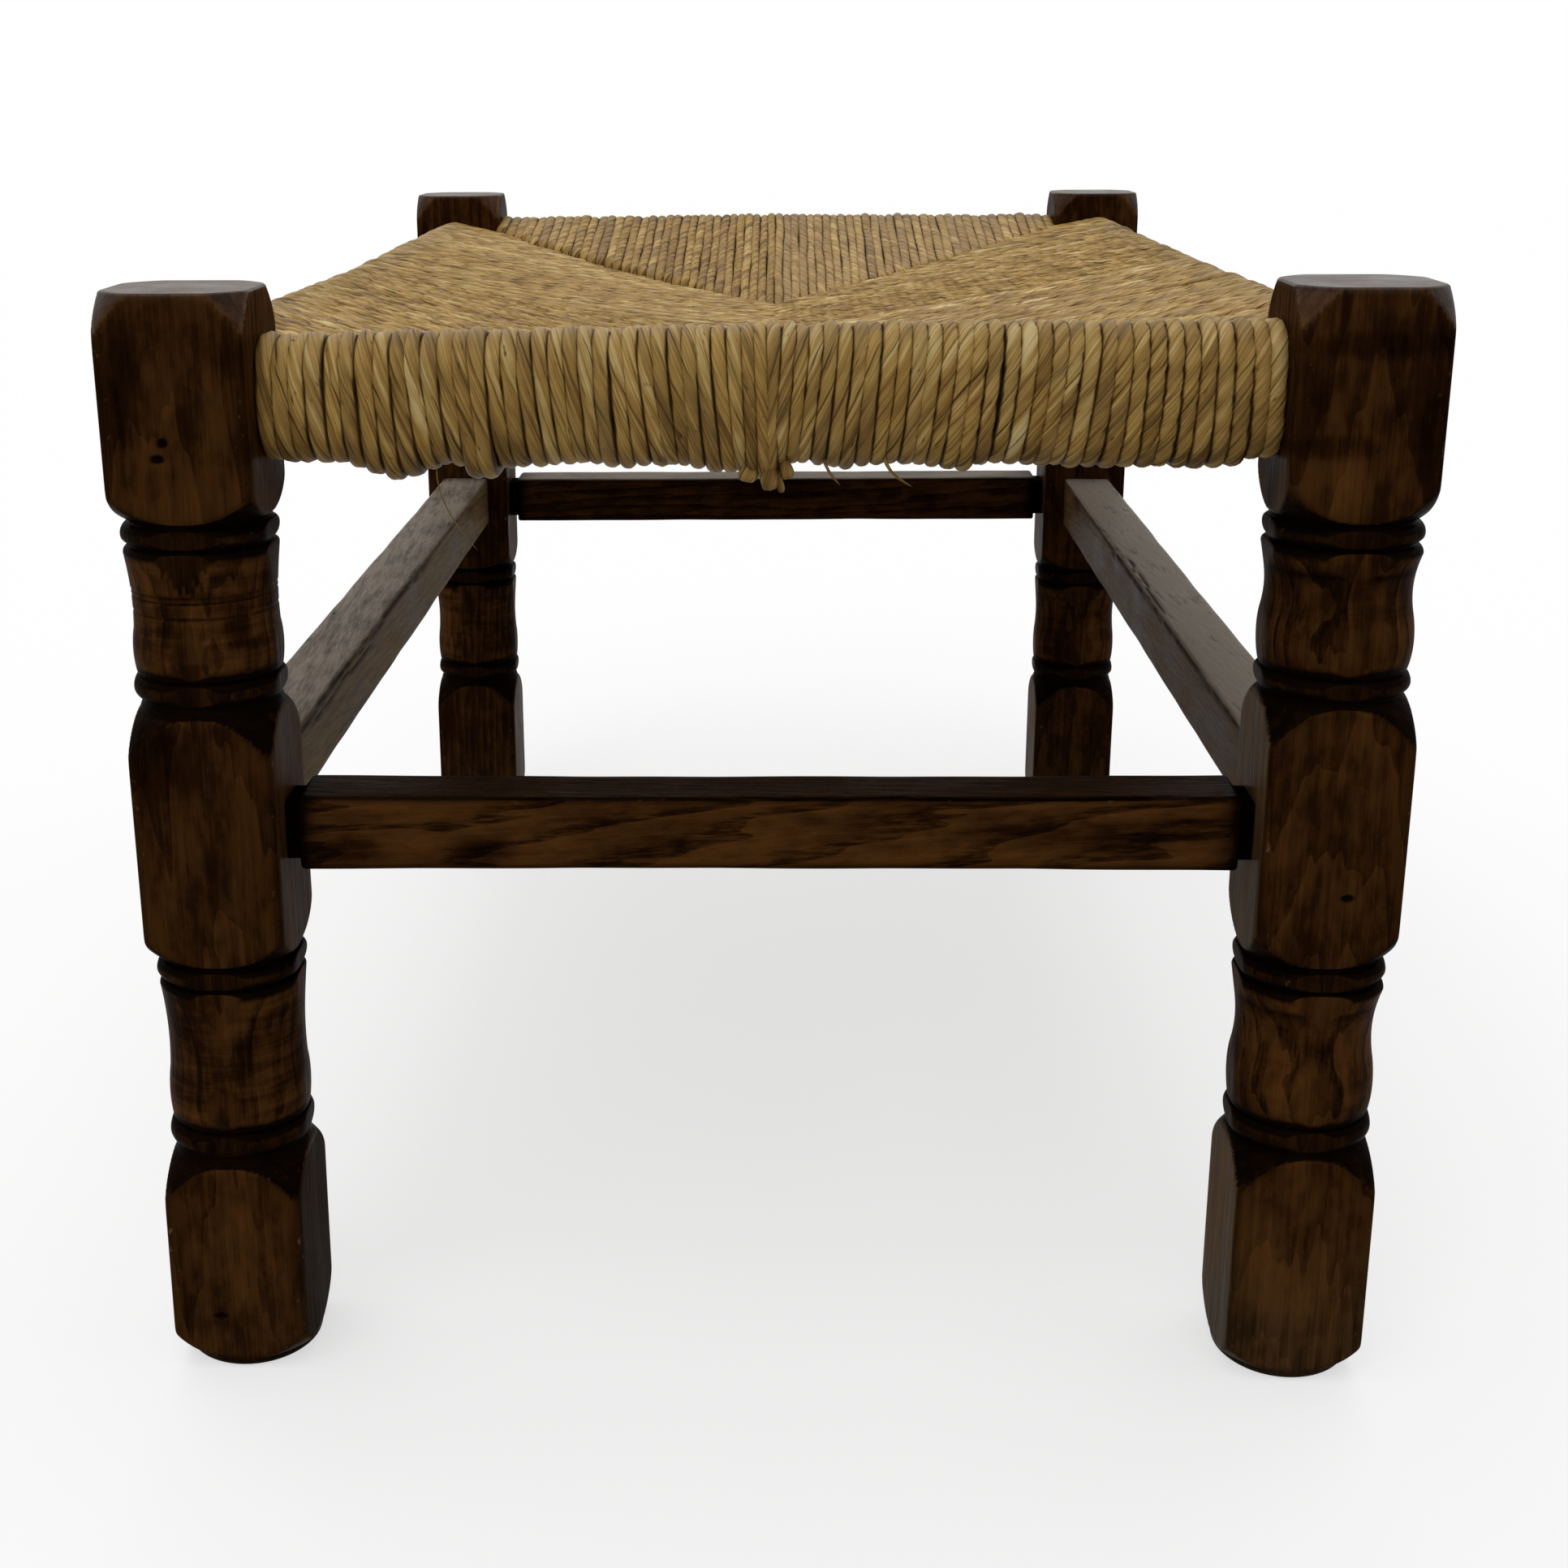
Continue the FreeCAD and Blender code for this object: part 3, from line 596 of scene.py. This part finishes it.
    # Painted sheen on the top, its turned corners and the inner side, with dulled varnish; greyer towards the
    # floor
    topSheenBloom = np.where(up > height - 0.2, 0.20, 0.15 * smoothStep(height - 2, height, up))
    sideSheenBloom, footBloom = smoothStep(s["latheTop"], 240, up) * inner, 0.35 * smoothStep(60, 0, up)
    sheenBloom = highest(topSheenBloom, 0.02 * topCut, leg["sheenBloom"] * np.maximum(sideSheenBloom, footBloom))
    sheenBloom = vectors(sheenBloom, up < height - 1, 0)
    rings = growthRings(*np.moveaxis(points, -1, 0), leg["pith"])
    points = points + np.array([x * stool["legX"], y * stool["legY"], 0])
    mesh = gridMesh(name, points[None], {"stain": stain, "figureShade": figureShade, "ring": rings, "sheenBloom": sheenBloom})
    addPiece(name + "_turned", mesh, oakUpright, "oak", name)
    mesh.materials.append(oakHandled)
    if leg["dull"]:
        mesh.materials.append(oakDull)
    handled = (topCut > 0.5) | (drawn < 0.99)[:, None] & (up > height / 2)
    # The last two faces close the top and the sole.
    finish = np.append((handled + 2 * dull)[:-1].ravel(), [1, 0])
    mesh.polygons.foreach_set("material_index", finish.astype(np.int32))


for name, leg in legTurnings.items():
    makeLeg(name, leg)
print("legs:", len(legTurnings))


# Stretchers

barShape = {
    "sides": 96,
    "rings": 280,
    "cornerRound": 22.0,
    "middle": 158.5,  # height of the middle line
    "width": 21.0,
    "standOff": 4.0,  # bare tenon at each end
    "tenon": 16.0,
    "tenonLength": 9.5,
    "facing": 0.72,  # cosine within which a point faces one way
}
# thin: wear in the middle. drop: how far the ends sit off the middle height. cracks: start and end along the
# bar, how far round from the upper arris (down its side is positive) and which side, 1 for the inner.
# sheenBloom:
# how grey the top and the inner side are, painted sheen and dulled varnish; a top with none gets painted shade.
# patches: on the outer side. honey, open, pith: as on the legs.
endBar = {"reach": stool["legY"], "half": stool["clearEnd"], "depth": 20.5, "wood": oakAcross}
sideBar = {"reach": stool["legX"], "half": stool["clearSide"], "depth": 22.0, "wood": oakAlong,
           "thin": 0.3, "drop": (0, 0), "honey": 0.04, "open": 0.5, "patches": ()}
bars = {
    "front_stretcher": dict(
        endBar, turn=0, thin=0.9, drop=(-0.4, 0.8), honey=0.13, sheenBloom=(0.0, 0.0), open=0.75,
        pith=(38, -13, -0.075, 0.02), cracks=((-20, 118, -0.9, -1),),
        patches=((-75, -5, 9, 4, -0.2), (-112, -5, 10, 5, -0.16), (85, 0, 28, 4, -0.12))),
    "right_stretcher": dict(
        sideBar, turn=90, sheenBloom=(1.6, 0.26), pith=(-5, -40, 0.03, 0.02),
        cracks=((-200, 90, 0.9, 1), (-60, 60, -2.2, 1))),
    "back_stretcher": dict(
        endBar, turn=180, thin=0.3, drop=(-0.9, -2.2), honey=0.03, sheenBloom=(1.0, 0.0), open=0.5,
        pith=(-30, 30, 0.05, 0.02), cracks=(), patches=()),
    "left_stretcher": dict(
        sideBar, turn=270, sheenBloom=(0.9, 0.60), pith=(8, 42, 0.02, 0.03),
        cracks=((-60, 205, 1.2, 1), (60, 190, 4.0, 1))),
}


def makeBar(name, bar):
    # A rounded rectangle carried along X: the section's distance at each angle, with half sizes that change
    # along the bar, from tenon to shoulder to the slightly worn middle.
    s = barShape
    shoulder = bar["half"] - s["standOff"]
    end = bar["half"] + s["tenonLength"]
    inner = np.linspace(-shoulder + 1.2, shoulder - 1.2, s["rings"])
    outer = np.array([end, shoulder + 0.02, shoulder, shoulder - 0.5])
    along = np.concatenate([-outer, inner, outer[::-1]])[:, None]
    tenon = np.array([1, 1, 0, 0] + [0] * len(inner) + [0, 0, 1, 1])[:, None]
    bevel = np.array([0, 0, 0.5, 0.1] + [0] * len(inner) + [0.1, 0.5, 0, 0])[:, None]
    worn = bar["thin"] * (1 - (along / shoulder) ** 2)
    halfWide = np.where(tenon, s["tenon"] / 2, s["width"] / 2 - bevel - worn * 0.3)
    halfDeep = np.where(tenon, s["tenon"] / 2, bar["depth"] / 2 - bevel - worn * 0.5)
    angle = squareAngles(s["sides"])
    phase = chance.uniform(0, 2 * np.pi, 8)
    power = s["cornerRound"] * (1 + 0.3 * np.sin(along / 23 + phase[0]) * np.sin(along / 9 + phase[1]))
    size = squareReach(angle, power)
    ripple = 0.05 * np.sin(along / 37 + phase[2]) + 0.03 * np.sin(along / 11.3 + phase[3])
    ripple = ripple * np.cos(angle * 2 + phase[4]) * (1 - tenon)
    y = (halfWide + ripple) * size * np.cos(angle)
    z = (halfDeep + ripple) * size * np.sin(angle)
    split = np.zeros_like(size)
    for first, last, place, hand in bar["cracks"]:
        fromArris = halfDeep - z - halfWide + hand * y
        line = place + 0.5 * np.sin(along / 17 + phase[5]) + 0.3 * np.sin(along / 6.1 + phase[6])
        line += 0.2 * np.sin(along / 2.9)
        length = smoothStep(first, first + 25, along) * smoothStep(last, last - 25, along)
        seen = (np.sin(angle) > 0.69) | (hand * np.cos(angle) > 0.69)
        split = np.maximum(split, np.exp(-((fromArris - line) / 0.6) ** 2) * seen * length)
    honey = bar["honey"] + patchTone(bar["patches"], along, z, 0.4) * (np.cos(angle) < -0.6)
    y, z = y * (1 - 0.05 * split), z * (1 - 0.05 * split)
    drop = np.interp(along, (-shoulder, shoulder), bar["drop"])
    joint = np.where(tenon, 1.0, 0.7 * np.exp(-np.maximum(shoulder - np.abs(along), 0) / 5.0))
    corner = smoothStep(1.26, 1.36, size)
    facesUp, facesIn = np.sin(angle) > s["facing"], np.cos(angle) > s["facing"]
    topSheenBloom, innerSheenBloom = bar["sheenBloom"]
    stain = vectors(0, np.maximum(joint, split), corner * (1 - joint) * 0.25)
    # Painted shade: the top of a bar with no grey there, the front one, is darkened as in the seat's shadow
    figureShade = vectors(bar["open"], honey, 0.32 * corner + 0.42 * facesUp * (topSheenBloom == 0))
    # Painted sheen, with dulled varnish, on the top and the inner side
    sheenBloom = (topSheenBloom * facesUp + innerSheenBloom * facesIn) * (1 - joint) * (1 - np.minimum(split * 1.4, 1))
    sheenBloom = vectors(sheenBloom, np.abs(np.cos(angle)) > s["facing"], 0)
    rings = growthRings(y, z, along, bar["pith"])
    points = turned(vectors(along, y - bar["reach"], z + s["middle"] + drop), bar["turn"])
    mesh = gridMesh(name, points[None], {"stain": stain, "figureShade": figureShade, "ring": rings, "sheenBloom": sheenBloom})
    addPiece(name + "_sawn", mesh, bar["wood"], "oak", name)


for name, bar in bars.items():
    makeBar(name, bar)
for name, wood in (("front", railAcross), ("back", railAcross), ("left", railAlong), ("right", railAlong)):
    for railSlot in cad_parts[name + "_seat_rail"].material_slots:
        railSlot.material = wood
print("stretchers:", len(bars))


# Rush seat

seat = {
    "face": -11.4,  # outside of the rush from the leg axes, inwards positive
    "bend": 11.5,
    "crest": 290.3,
    "base": 255.4,
    "seam": 147.5,  # the middle seam from the leg axes of the sides
    "seamTop": 263.4,
    "seamBase": 252.6,
    "cordHalf": 2.15,  # half the thickness of a cord
    "crowding": 1.29,  # cord width over its spacing
    "rings": (3, 16, 12, 10, 14, 40, 4),  # dip, underside, bend, face, bend, top, dip
    "slack": 0.3,  # share of the twist that the underside gets
    "closer": 0.1,  # cords are closer by this share in a side's middle, wider at its ends
    "tone": -0.40,  # with the patterns' own middles this gives tan
}
# sides: faces round a cord. From outside, left to right: crest, the lift at a side's ends and middle; twist, mm
# to a turn in each half; lean, how far the cords of each half lean to the middle, top to bottom. sag: how hollow
# the top is. hang: slack loops below the rail, as place along it, half width, drop. pull: cords drawn into a
# knot. dip: radius of the turn down at a seam. overlap: how far cords run past it. tone: lighter or darker than
# the rest. spread: how far the leaves differ.
endSide = {"reach": stool["legY"], "half": stool["clearEnd"], "cords": 66, "sides": 12,
           "sag": 0.5, "dip": 4.6, "overlap": 2.0}
longSide = {"reach": stool["legX"], "half": stool["clearSide"], "cords": 106, "sides": 9,
            "dip": 2.4, "overlap": 3.0, "pull": None, "tone": 0.0, "spread": 1.0}
seatSides = {
    "front": dict(
        endSide, turn=0, crest=(-1.0, 1.6, 2.6), twist=(46, 21), lean=(2.6, 3.4), pull=-1.0,
        hang=((-97, 6.5, 3.6), (-75, 4.5, 3.8), (-15, 8, 1.8), (-1, 5.5, 4.0), (52, 5, 0.9), (96, 6, 1.2)),
        tone=0.015, spread=1.0),
    "right": dict(
        longSide, turn=90, crest=(0.4, -1.4, -0.6), sag=0.8, twist=(30, 34), lean=(2.4, 2.8),
        hang=((-60, 7, 1.4), (70, 6, 1.2))),
    "back": dict(
        endSide, turn=180, crest=(0.0, 0.4, -0.8), twist=(24, 26), lean=(2.6, 2.6), pull=None,
        hang=((-40, 6, 1.6), (55, 5, 1.4)), tone=-0.05, spread=0.6),
    "left": dict(
        longSide, turn=270, crest=(-1.6, -4.0, -2.2), sag=3.0, twist=(34, 38), lean=(2.8, 2.4),
        hang=((-90, 7, 1.2), (40, 6, 1.5))),
}


def running(steps):
    # Adds up the steps along each cord, from 0.
    return np.concatenate([np.zeros((len(steps), 1)), np.cumsum(steps, 1)], 1)


def waves(run, length):
    # A sine along each cord, begun anywhere.
    return np.sin(run / length + chance.uniform(0, 6.3, (len(run), 1)))


def cordPaths(side):
    # Each cord starts at the seam below, runs out under the seat, bends round the rail, climbs its face,
    # bends over the crest, runs in to the seam above and dips into it. The cords of a half lean on the face.
    s = seat
    count, half, r, bend, dip = side["cords"], side["half"], s["cordHalf"], s["bend"], side["dip"]
    inside = s["face"] + bend
    even = (np.arange(count) + 0.5) * 2 / count - 1
    step = 2 * half / count * (1 + s["closer"] * (2 * np.abs(even) - 1))
    start = half * even * (1 + s["closer"] * (np.abs(even) - 1)) + chance.normal(0, 0.10, count)
    size = np.abs(start)
    lean = np.where(start < 0, side["lean"][0], -side["lean"][1])
    lean = lean * smoothStep(half - 4, half - 45, size) * smoothStep(2, 34, size)
    lean = lean + 0.4 * np.sin(start / 4.9 + 1.3) + chance.normal(0, 0.18, count)
    if side["pull"] is not None:
        lean = lean - 0.5 * (start - side["pull"]) * np.exp(-((start - side["pull"]) / 12) ** 2)
    crest = s["crest"] + np.interp(start, (-half, 0, half), side["crest"]) + chance.normal(0, 0.25, count)
    base = s["base"] + 0.5 * np.sin(start / 4.7) + chance.normal(0, 0.25, count)
    base += 2.2 * smoothStep(half - 12, half, size)
    for middle, wide, drop in side["hang"]:
        base -= drop * np.exp(-((start - middle) / wide) ** 2)
    straight = half - stool["clearEnd"]
    topEnd = s["seam"] - np.maximum(size - straight, 0) - dip + side["overlap"] + chance.normal(0, 0.5, count)
    lowEnd = s["seam"] - np.maximum(np.abs(start + lean) - straight, 0) - dip
    topEnd, lowEnd = (np.maximum(end, inside + 6)[:, None] for end in (topEnd, lowEnd))
    high, low = crest[:, None], base[:, None]

    def topAt(y):
        share = (y - inside) / (s["seam"] - inside)
        return high + (s["seamTop"] - high) * share - side["sag"] * np.sin(np.pi * np.clip(share, 0, 1))

    def baseAt(y):
        return low + (s["seamBase"] - low) * (y - inside) / (s["seam"] - inside)

    parts = [np.linspace(0, 1, n + 1)[None, 1:] for n in s["rings"]]
    sin, cos = ([wave(part * np.pi / 2) for part in parts] for wave in (np.sin, np.cos))  # quarter turns
    under = lowEnd + (inside - lowEnd) * parts[1]
    face = low + bend + (high - low - 2 * bend) * parts[3]
    over = inside + (topEnd - inside) * parts[5]
    y, z = (np.concatenate(part, 1) for part in zip(
        (lowEnd + dip * sin[0][:, ::-1], baseAt(lowEnd) + r + dip * (1 - cos[0][:, ::-1])),
        (under, baseAt(under) + r),
        (inside - (bend - r) * sin[2] + 0 * low, low + bend - (bend - r) * cos[2]),
        (s["face"] + r + 0 * face - 0.5 * np.sin(np.pi * parts[3]), face),
        (inside - (bend - r) * cos[4] + 0 * low, high - bend + (bend - r) * sin[4]),
        (over, topAt(over) - r),
        (topEnd + dip * sin[6], topAt(topEnd) - r - dip * (1 - cos[6]))))
    fall = np.clip((high - 3 - z) / (high - low - 5), 0, 1)
    fall[:, -sum(s["rings"][5:]):] = 0
    run = running(np.hypot(np.diff(y), np.diff(z)))
    wobble = 0.22 * waves(run, 19) + 0.12 * waves(run, 8.1)
    along = start[:, None] + lean[:, None] * fall ** 1.2 + wobble
    return vectors(along, y, z), run, start, step


def cordMesh(name, path, run, wide, thick, twist, turn, tone, spread, age, beside, sides):
    # A cord's section is an ellipse with a dent where two leaves meet. The section's columns turn along the
    # path with the twist, so dents and fibres run as helices. beside says how closely neighbours lie.
    leaves = rushFinish["leaves"]
    count, rings, _ = path.shape
    column = np.arange(sides) * 2 * np.pi / sides
    leaf = np.arange(sides) // (sides // leaves)
    fromFold = np.arange(sides) % (sides // leaves)
    onFold = (fromFold == 0) + 0.25 * ((fromFold == 1) | (fromFold == sides // leaves - 1)) * (sides > 9)
    tangent = np.gradient(path, axis=1)
    tangent /= np.linalg.norm(tangent, axis=2, keepdims=True)
    outward = np.cross(tangent, np.array([1.0, 0, 0]))
    outward /= np.linalg.norm(outward, axis=2, keepdims=True)
    across = np.cross(outward, tangent)
    spin = twist + chance.uniform(0, 2 * np.pi, (count, 1))
    angle = column + spin[:, :, None]
    depth = chance.uniform(0.07, 0.19, (count, 1, 1)) * onFold
    swell = 1 + 0.04 * waves(run, 13) + 0.03 * waves(run, 5.2)
    ends = np.minimum(np.arange(rings), np.arange(rings)[::-1])
    size = (swell * np.where(ends == 0, 0.25, 1.0))[:, :, None] * (1 - depth)
    ring = (wide * size * np.cos(angle))[..., None] * across[:, :, None, :]
    ring = ring + (thick * size * np.sin(angle))[..., None] * outward[:, :, None, :]
    points = turned(path[:, :, None, :] + ring, turn)
    leafTone = chance.normal(0, 0.068, (count, leaves))
    leafTone += 0.2 * (chance.uniform(0, 1, leafTone.shape) < 0.06)  # a few pale leaves
    leafAge = np.maximum(chance.normal(0, 0.09, (count, leaves)), 0)
    leafTone, leafAge = spread * leafTone[:, None, leaf], leafAge[:, None, leaf]
    drift = 0.05 * waves(run, 31)
    leafMark = vectors((tone + drift)[:, :, None] + leafTone, beside * np.cos(angle), age[:, :, None] + leafAge)
    shift = chance.uniform(0, 40, (count, 1, 1))
    fibre = vectors(np.cos(column), np.sin(column), (run * mm)[:, :, None] + shift)
    return gridMesh(name, points, {"leaf": leafMark, "fibre": fibre})


for name, side in seatSides.items():
    path, run, start, step = cordPaths(side)
    count = len(start)
    ringStops = np.cumsum(seat["rings"])
    ringNumber = np.arange(ringStops[-1])
    lay = np.interp(start, (-side["half"] * 0.4, side["half"] * 0.4), side["twist"])
    lay = lay * chance.uniform(0.85, 1.15, count)
    share = np.where(ringNumber[:-1] < ringStops[1], seat["slack"], 1.0)
    twist = np.sign(start)[:, None] * 2 * np.pi * running(np.diff(run) * share) / lay[:, None]
    wide = (step / 2 * seat["crowding"])[:, None, None] * chance.uniform(0.97, 1.05, (count, 1, 1))
    low = np.interp(ringNumber, ringStops[1:5], (1.0, 0.8, -0.15, 0.0))  # painted shade below, painted light above
    tone = seat["tone"] + side["tone"] + chance.normal(0, 0.03, (count, 1)) - 0.10 * low
    crestRun = run[:, [ringStops[4] - 1]]
    age = 0.05 + 0.34 * np.exp(-((run - crestRun) / 8) ** 2) + chance.uniform(-0.05, 0.10, (count, 1))
    beside = np.where(ringNumber < ringStops[3], 1.0, 0.92)[None, :, None]
    path = path - np.array([0, side["reach"], 0])
    mesh = cordMesh(name + "_rush", path, run, wide, seat["cordHalf"], twist, side["turn"], tone,
                    side["spread"], np.clip(age, 0, 1), beside, side["sides"])
    addPiece(name + "_rush_cords", mesh, rushTwisted, "rush", name + "_rush_panel")

# Ends tied off and straws that came loose under the front: points from root to tip in mm along the front, in
# from the leg axes and up, with the half thickness at the root and at the tip
looseEnds = {
    "knot_left": ((-3.6, -3.0, 259), (-4.6, -5.4, 255.4), (-5.2, -5.6, 252.4), 1.7, 3.0),
    "knot_middle": ((0.4, -3.0, 259), (0.4, -6.0, 254.4), (0.8, -6.4, 250.2), 1.9, 2.7),
    "knot_small": ((2.4, -3.0, 256), (3.1, -6.2, 252.6), (3.8, -6.6, 249.6), 0.8, 1.1),
    "knot_right": ((3.6, -3.0, 259), (4.6, -5.0, 255.8), (5.6, -5.2, 253.0), 1.5, 2.1),
    "end_short": ((14.4, -6.0, 258), (15.6, -8.8, 255.4), (18.4, -8.6, 252.0), 0.55, 0.25),
    "end_long": ((29.6, -6.0, 259), (31.5, -8.8, 255.2), (36.8, -8.6, 251.4), 0.6, 0.22),
    "straw": ((-84.0, -7.0, 256), (-81.5, -9.0, 246), (-73.8, -9.0, 234.8), 0.22, 0.12),
}


def makeEnds(name, ends):
    # A quadratic curve through three points, swept with a ring that widens or tapers from root to tip and is
    # rounded off there.
    rings, lay = 16, 4.5
    share = np.linspace(0, 1, rings)[:, None]
    tipRound = np.sqrt(1 - 0.9 * np.clip((share[:, 0] - 0.72) / 0.28, 0, 1) ** 2)
    path, thick = [], []
    for *places, root, tip in ends.values():
        a, b, c = np.array(places)
        path.append(a * (1 - share) ** 2 + (4 * b - a - c) * share * (1 - share) + c * share ** 2)
        thick.append(np.linspace(root, tip, rings) * tipRound)
    path, thick = np.array(path) - np.array([0, stool["legY"], 0]), np.array(thick)[:, :, None]
    run = running(np.linalg.norm(np.diff(path, axis=1), axis=2))
    tone = seat["tone"] + chance.uniform(-0.22, -0.08, (len(ends), 1)) + 0 * run
    mesh = cordMesh(name, path, run, thick, thick, run / lay, 0, tone, 1.0, 0.1 + 0 * run, 0.6, 12)
    addPiece(name, mesh, rushTwisted, "rush")


makeEnds("front_rush_ends", looseEnds)
print("cords:", sum(side["cords"] for side in seatSides.values()))

packing = {
    "start": 14.5,  # from the leg axes, just inside the rail
    "tip": 138.0,
    "under": 3.4,  # below the outside of the cords
    "columns": 24,
    "rings": 60,
    "lump": 0.5,
}


def makePacking(name, side):
    # A wedge with a lumpy skin: its section runs inwards along the top and back along the underside, and
    # it is drawn out sideways as far as the diagonals let it.
    p, s = packing, seat
    inside = s["face"] + s["bend"]
    crest = s["crest"] + min(side["crest"])
    out = np.linspace(p["start"], p["tip"], p["columns"])
    share = (out - inside) / (s["seam"] - inside)
    top = crest + (s["seamTop"] - crest) * share - side["sag"] * np.sin(np.pi * share) - p["under"]
    low = np.minimum(s["base"] + (s["seamBase"] - s["base"]) * share + p["under"], top - 0.8)
    y = np.concatenate([out, out[::-1]])
    z = np.concatenate([top, low[::-1]])
    reach = side["half"] - 1 - np.maximum(y - stool["block"] / 2, 0)
    x = np.linspace(-1, 1, p["rings"])[:, None] * reach
    lump = p["lump"] * np.sin(x / 7 + y / 11) * np.sin(x / 17 - y / 5)
    points = turned(vectors(x, y - side["reach"], z + lump - p["lump"]), side["turn"])
    leafMark = np.array([seat["tone"], 0.3, 0.1])
    fibre = vectors(points[..., 0] / 9, points[..., 1] / 9, points[..., 2] * mm)
    mesh = gridMesh(name, points[None], {"leaf": leafMark, "fibre": fibre})
    addPiece(name + "_rush_wad", mesh, rushLoose, "rush_packing", name + "_rush_packing")


for name, side in seatSides.items():
    makePacking(name, side)
print("rush sides:", len(seatSides))


# Stage, light and camera

stage = {
    "size": 14.0,
    "pale": "#fefefe",  # the floor as it is seen
    "dull": "#a3a19e",  # what the floor throws back on the object
    "lift": 0.62,  # share of plain white in the seen floor, the rest is lit and keeps the shadow
    "front": 0.30,  # light from the camera's side
    "behind": 0.78,
    # strength, spread and tilts in degrees, about X and Y, of the soft boxes above
    "lamps": {"overhead_back": (0.80, 70, -24, -8), "overhead_front": (0.90, 50, 36, -10)},
}


def seenRays(add):
    # 1 for rays from the camera, in reflections and through glass, 0 for the light on the object
    path = add("LightPath")
    seen = path["Is Camera Ray"]
    for kind in ("Is Glossy Ray", "Is Transmission Ray"):
        seen = add("Math", {0: seen, 1: path[kind]}, operation="MAXIMUM")[0]
    return seen


bpy.ops.mesh.primitive_plane_add(size=stage["size"])
floor = bpy.context.object
floor.name = "floor"
# Matt white paper: an even pale ground with no gloss.
material, add = newMaterial("floor_matt_paper")
seen = seenRays(add)
paper = add("Mix", {0: seen, 6: stage["dull"], 7: stage["pale"]}, data_type="RGBA")[2]
matt = add("BsdfDiffuse", {"Color": paper})["BSDF"]
white = add("Emission", {"Color": (1, 1, 1, 1), "Strength": 1.0})["Emission"]
share = add("Math", {0: seen, 1: stage["lift"]}, operation="MULTIPLY")[0]
ground = add("MixShader", {0: share, 1: matt, 2: white})["Shader"]
add("OutputMaterial", {"Surface": ground})
floor.data.materials.append(material)

# The room is brighter behind the stool than on the camera's side; what is seen past it is white.
world = bpy.data.worlds.new("room")
scene.world = world
world.use_nodes = True
world.node_tree.nodes.clear()
add = partial(addNode, world.node_tree)
way = add("SeparateXYZ", {0: add("TexCoord")["Generated"]})["Y"]
room = add("MapRange", {
    "Value": way, "From Min": -0.6, "From Max": 0.6, "To Min": stage["front"], "To Max": stage["behind"]},
    interpolation_type="SMOOTHSTEP")["Result"]
strength = add("Mix", {0: seenRays(add), 2: room, 3: 1.0}, data_type="FLOAT")[0]
backdrop = add("Background", {"Color": (1, 1, 1, 1), "Strength": strength})["Background"]
add("OutputWorld", {"Surface": backdrop})

for name, (strength, spread, tiltX, tiltY) in stage["lamps"].items():
    sun = bpy.data.lights.new(name, "SUN")
    sun.energy = strength
    sun.angle = math.radians(spread)
    lamp = bpy.data.objects.new(name, sun)
    lamp.rotation_euler = (math.radians(tiltX), math.radians(tiltY), 0)
    scene.collection.objects.link(lamp)

shot = {
    "at": (0.00410, -0.78352, 0.34917),  # metres
    "pitch": 0.2908,  # radians, down
    "yaw": -0.0287,
    "roll": -0.004,
    "focal": 2623.0,  # px, in a frame of 1932
    "middle": (891.87, 888.24),
    "frame": 1932.0,
    "sensor": 36.0,
}
camera = bpy.data.cameras.new("camera")
camera.sensor_width = shot["sensor"]
camera.lens = shot["sensor"] * shot["focal"] / shot["frame"]
camera.shift_x = 0.5 - shot["middle"][0] / shot["frame"]
camera.shift_y = shot["middle"][1] / shot["frame"] - 0.5
camera.clip_start = 0.01
eye = bpy.data.objects.new("camera", camera)
scene.collection.objects.link(eye)
eye.matrix_world = (
    Matrix.Translation(Vector(shot["at"])) @ Matrix.Rotation(-shot["yaw"], 4, "Z")
    @ Matrix.Rotation(math.pi / 2 - shot["pitch"], 4, "X") @ Matrix.Rotation(shot["roll"], 4, "Z"))
scene.camera = eye
scene.view_settings.view_transform = "Standard"
print("stage and camera set")
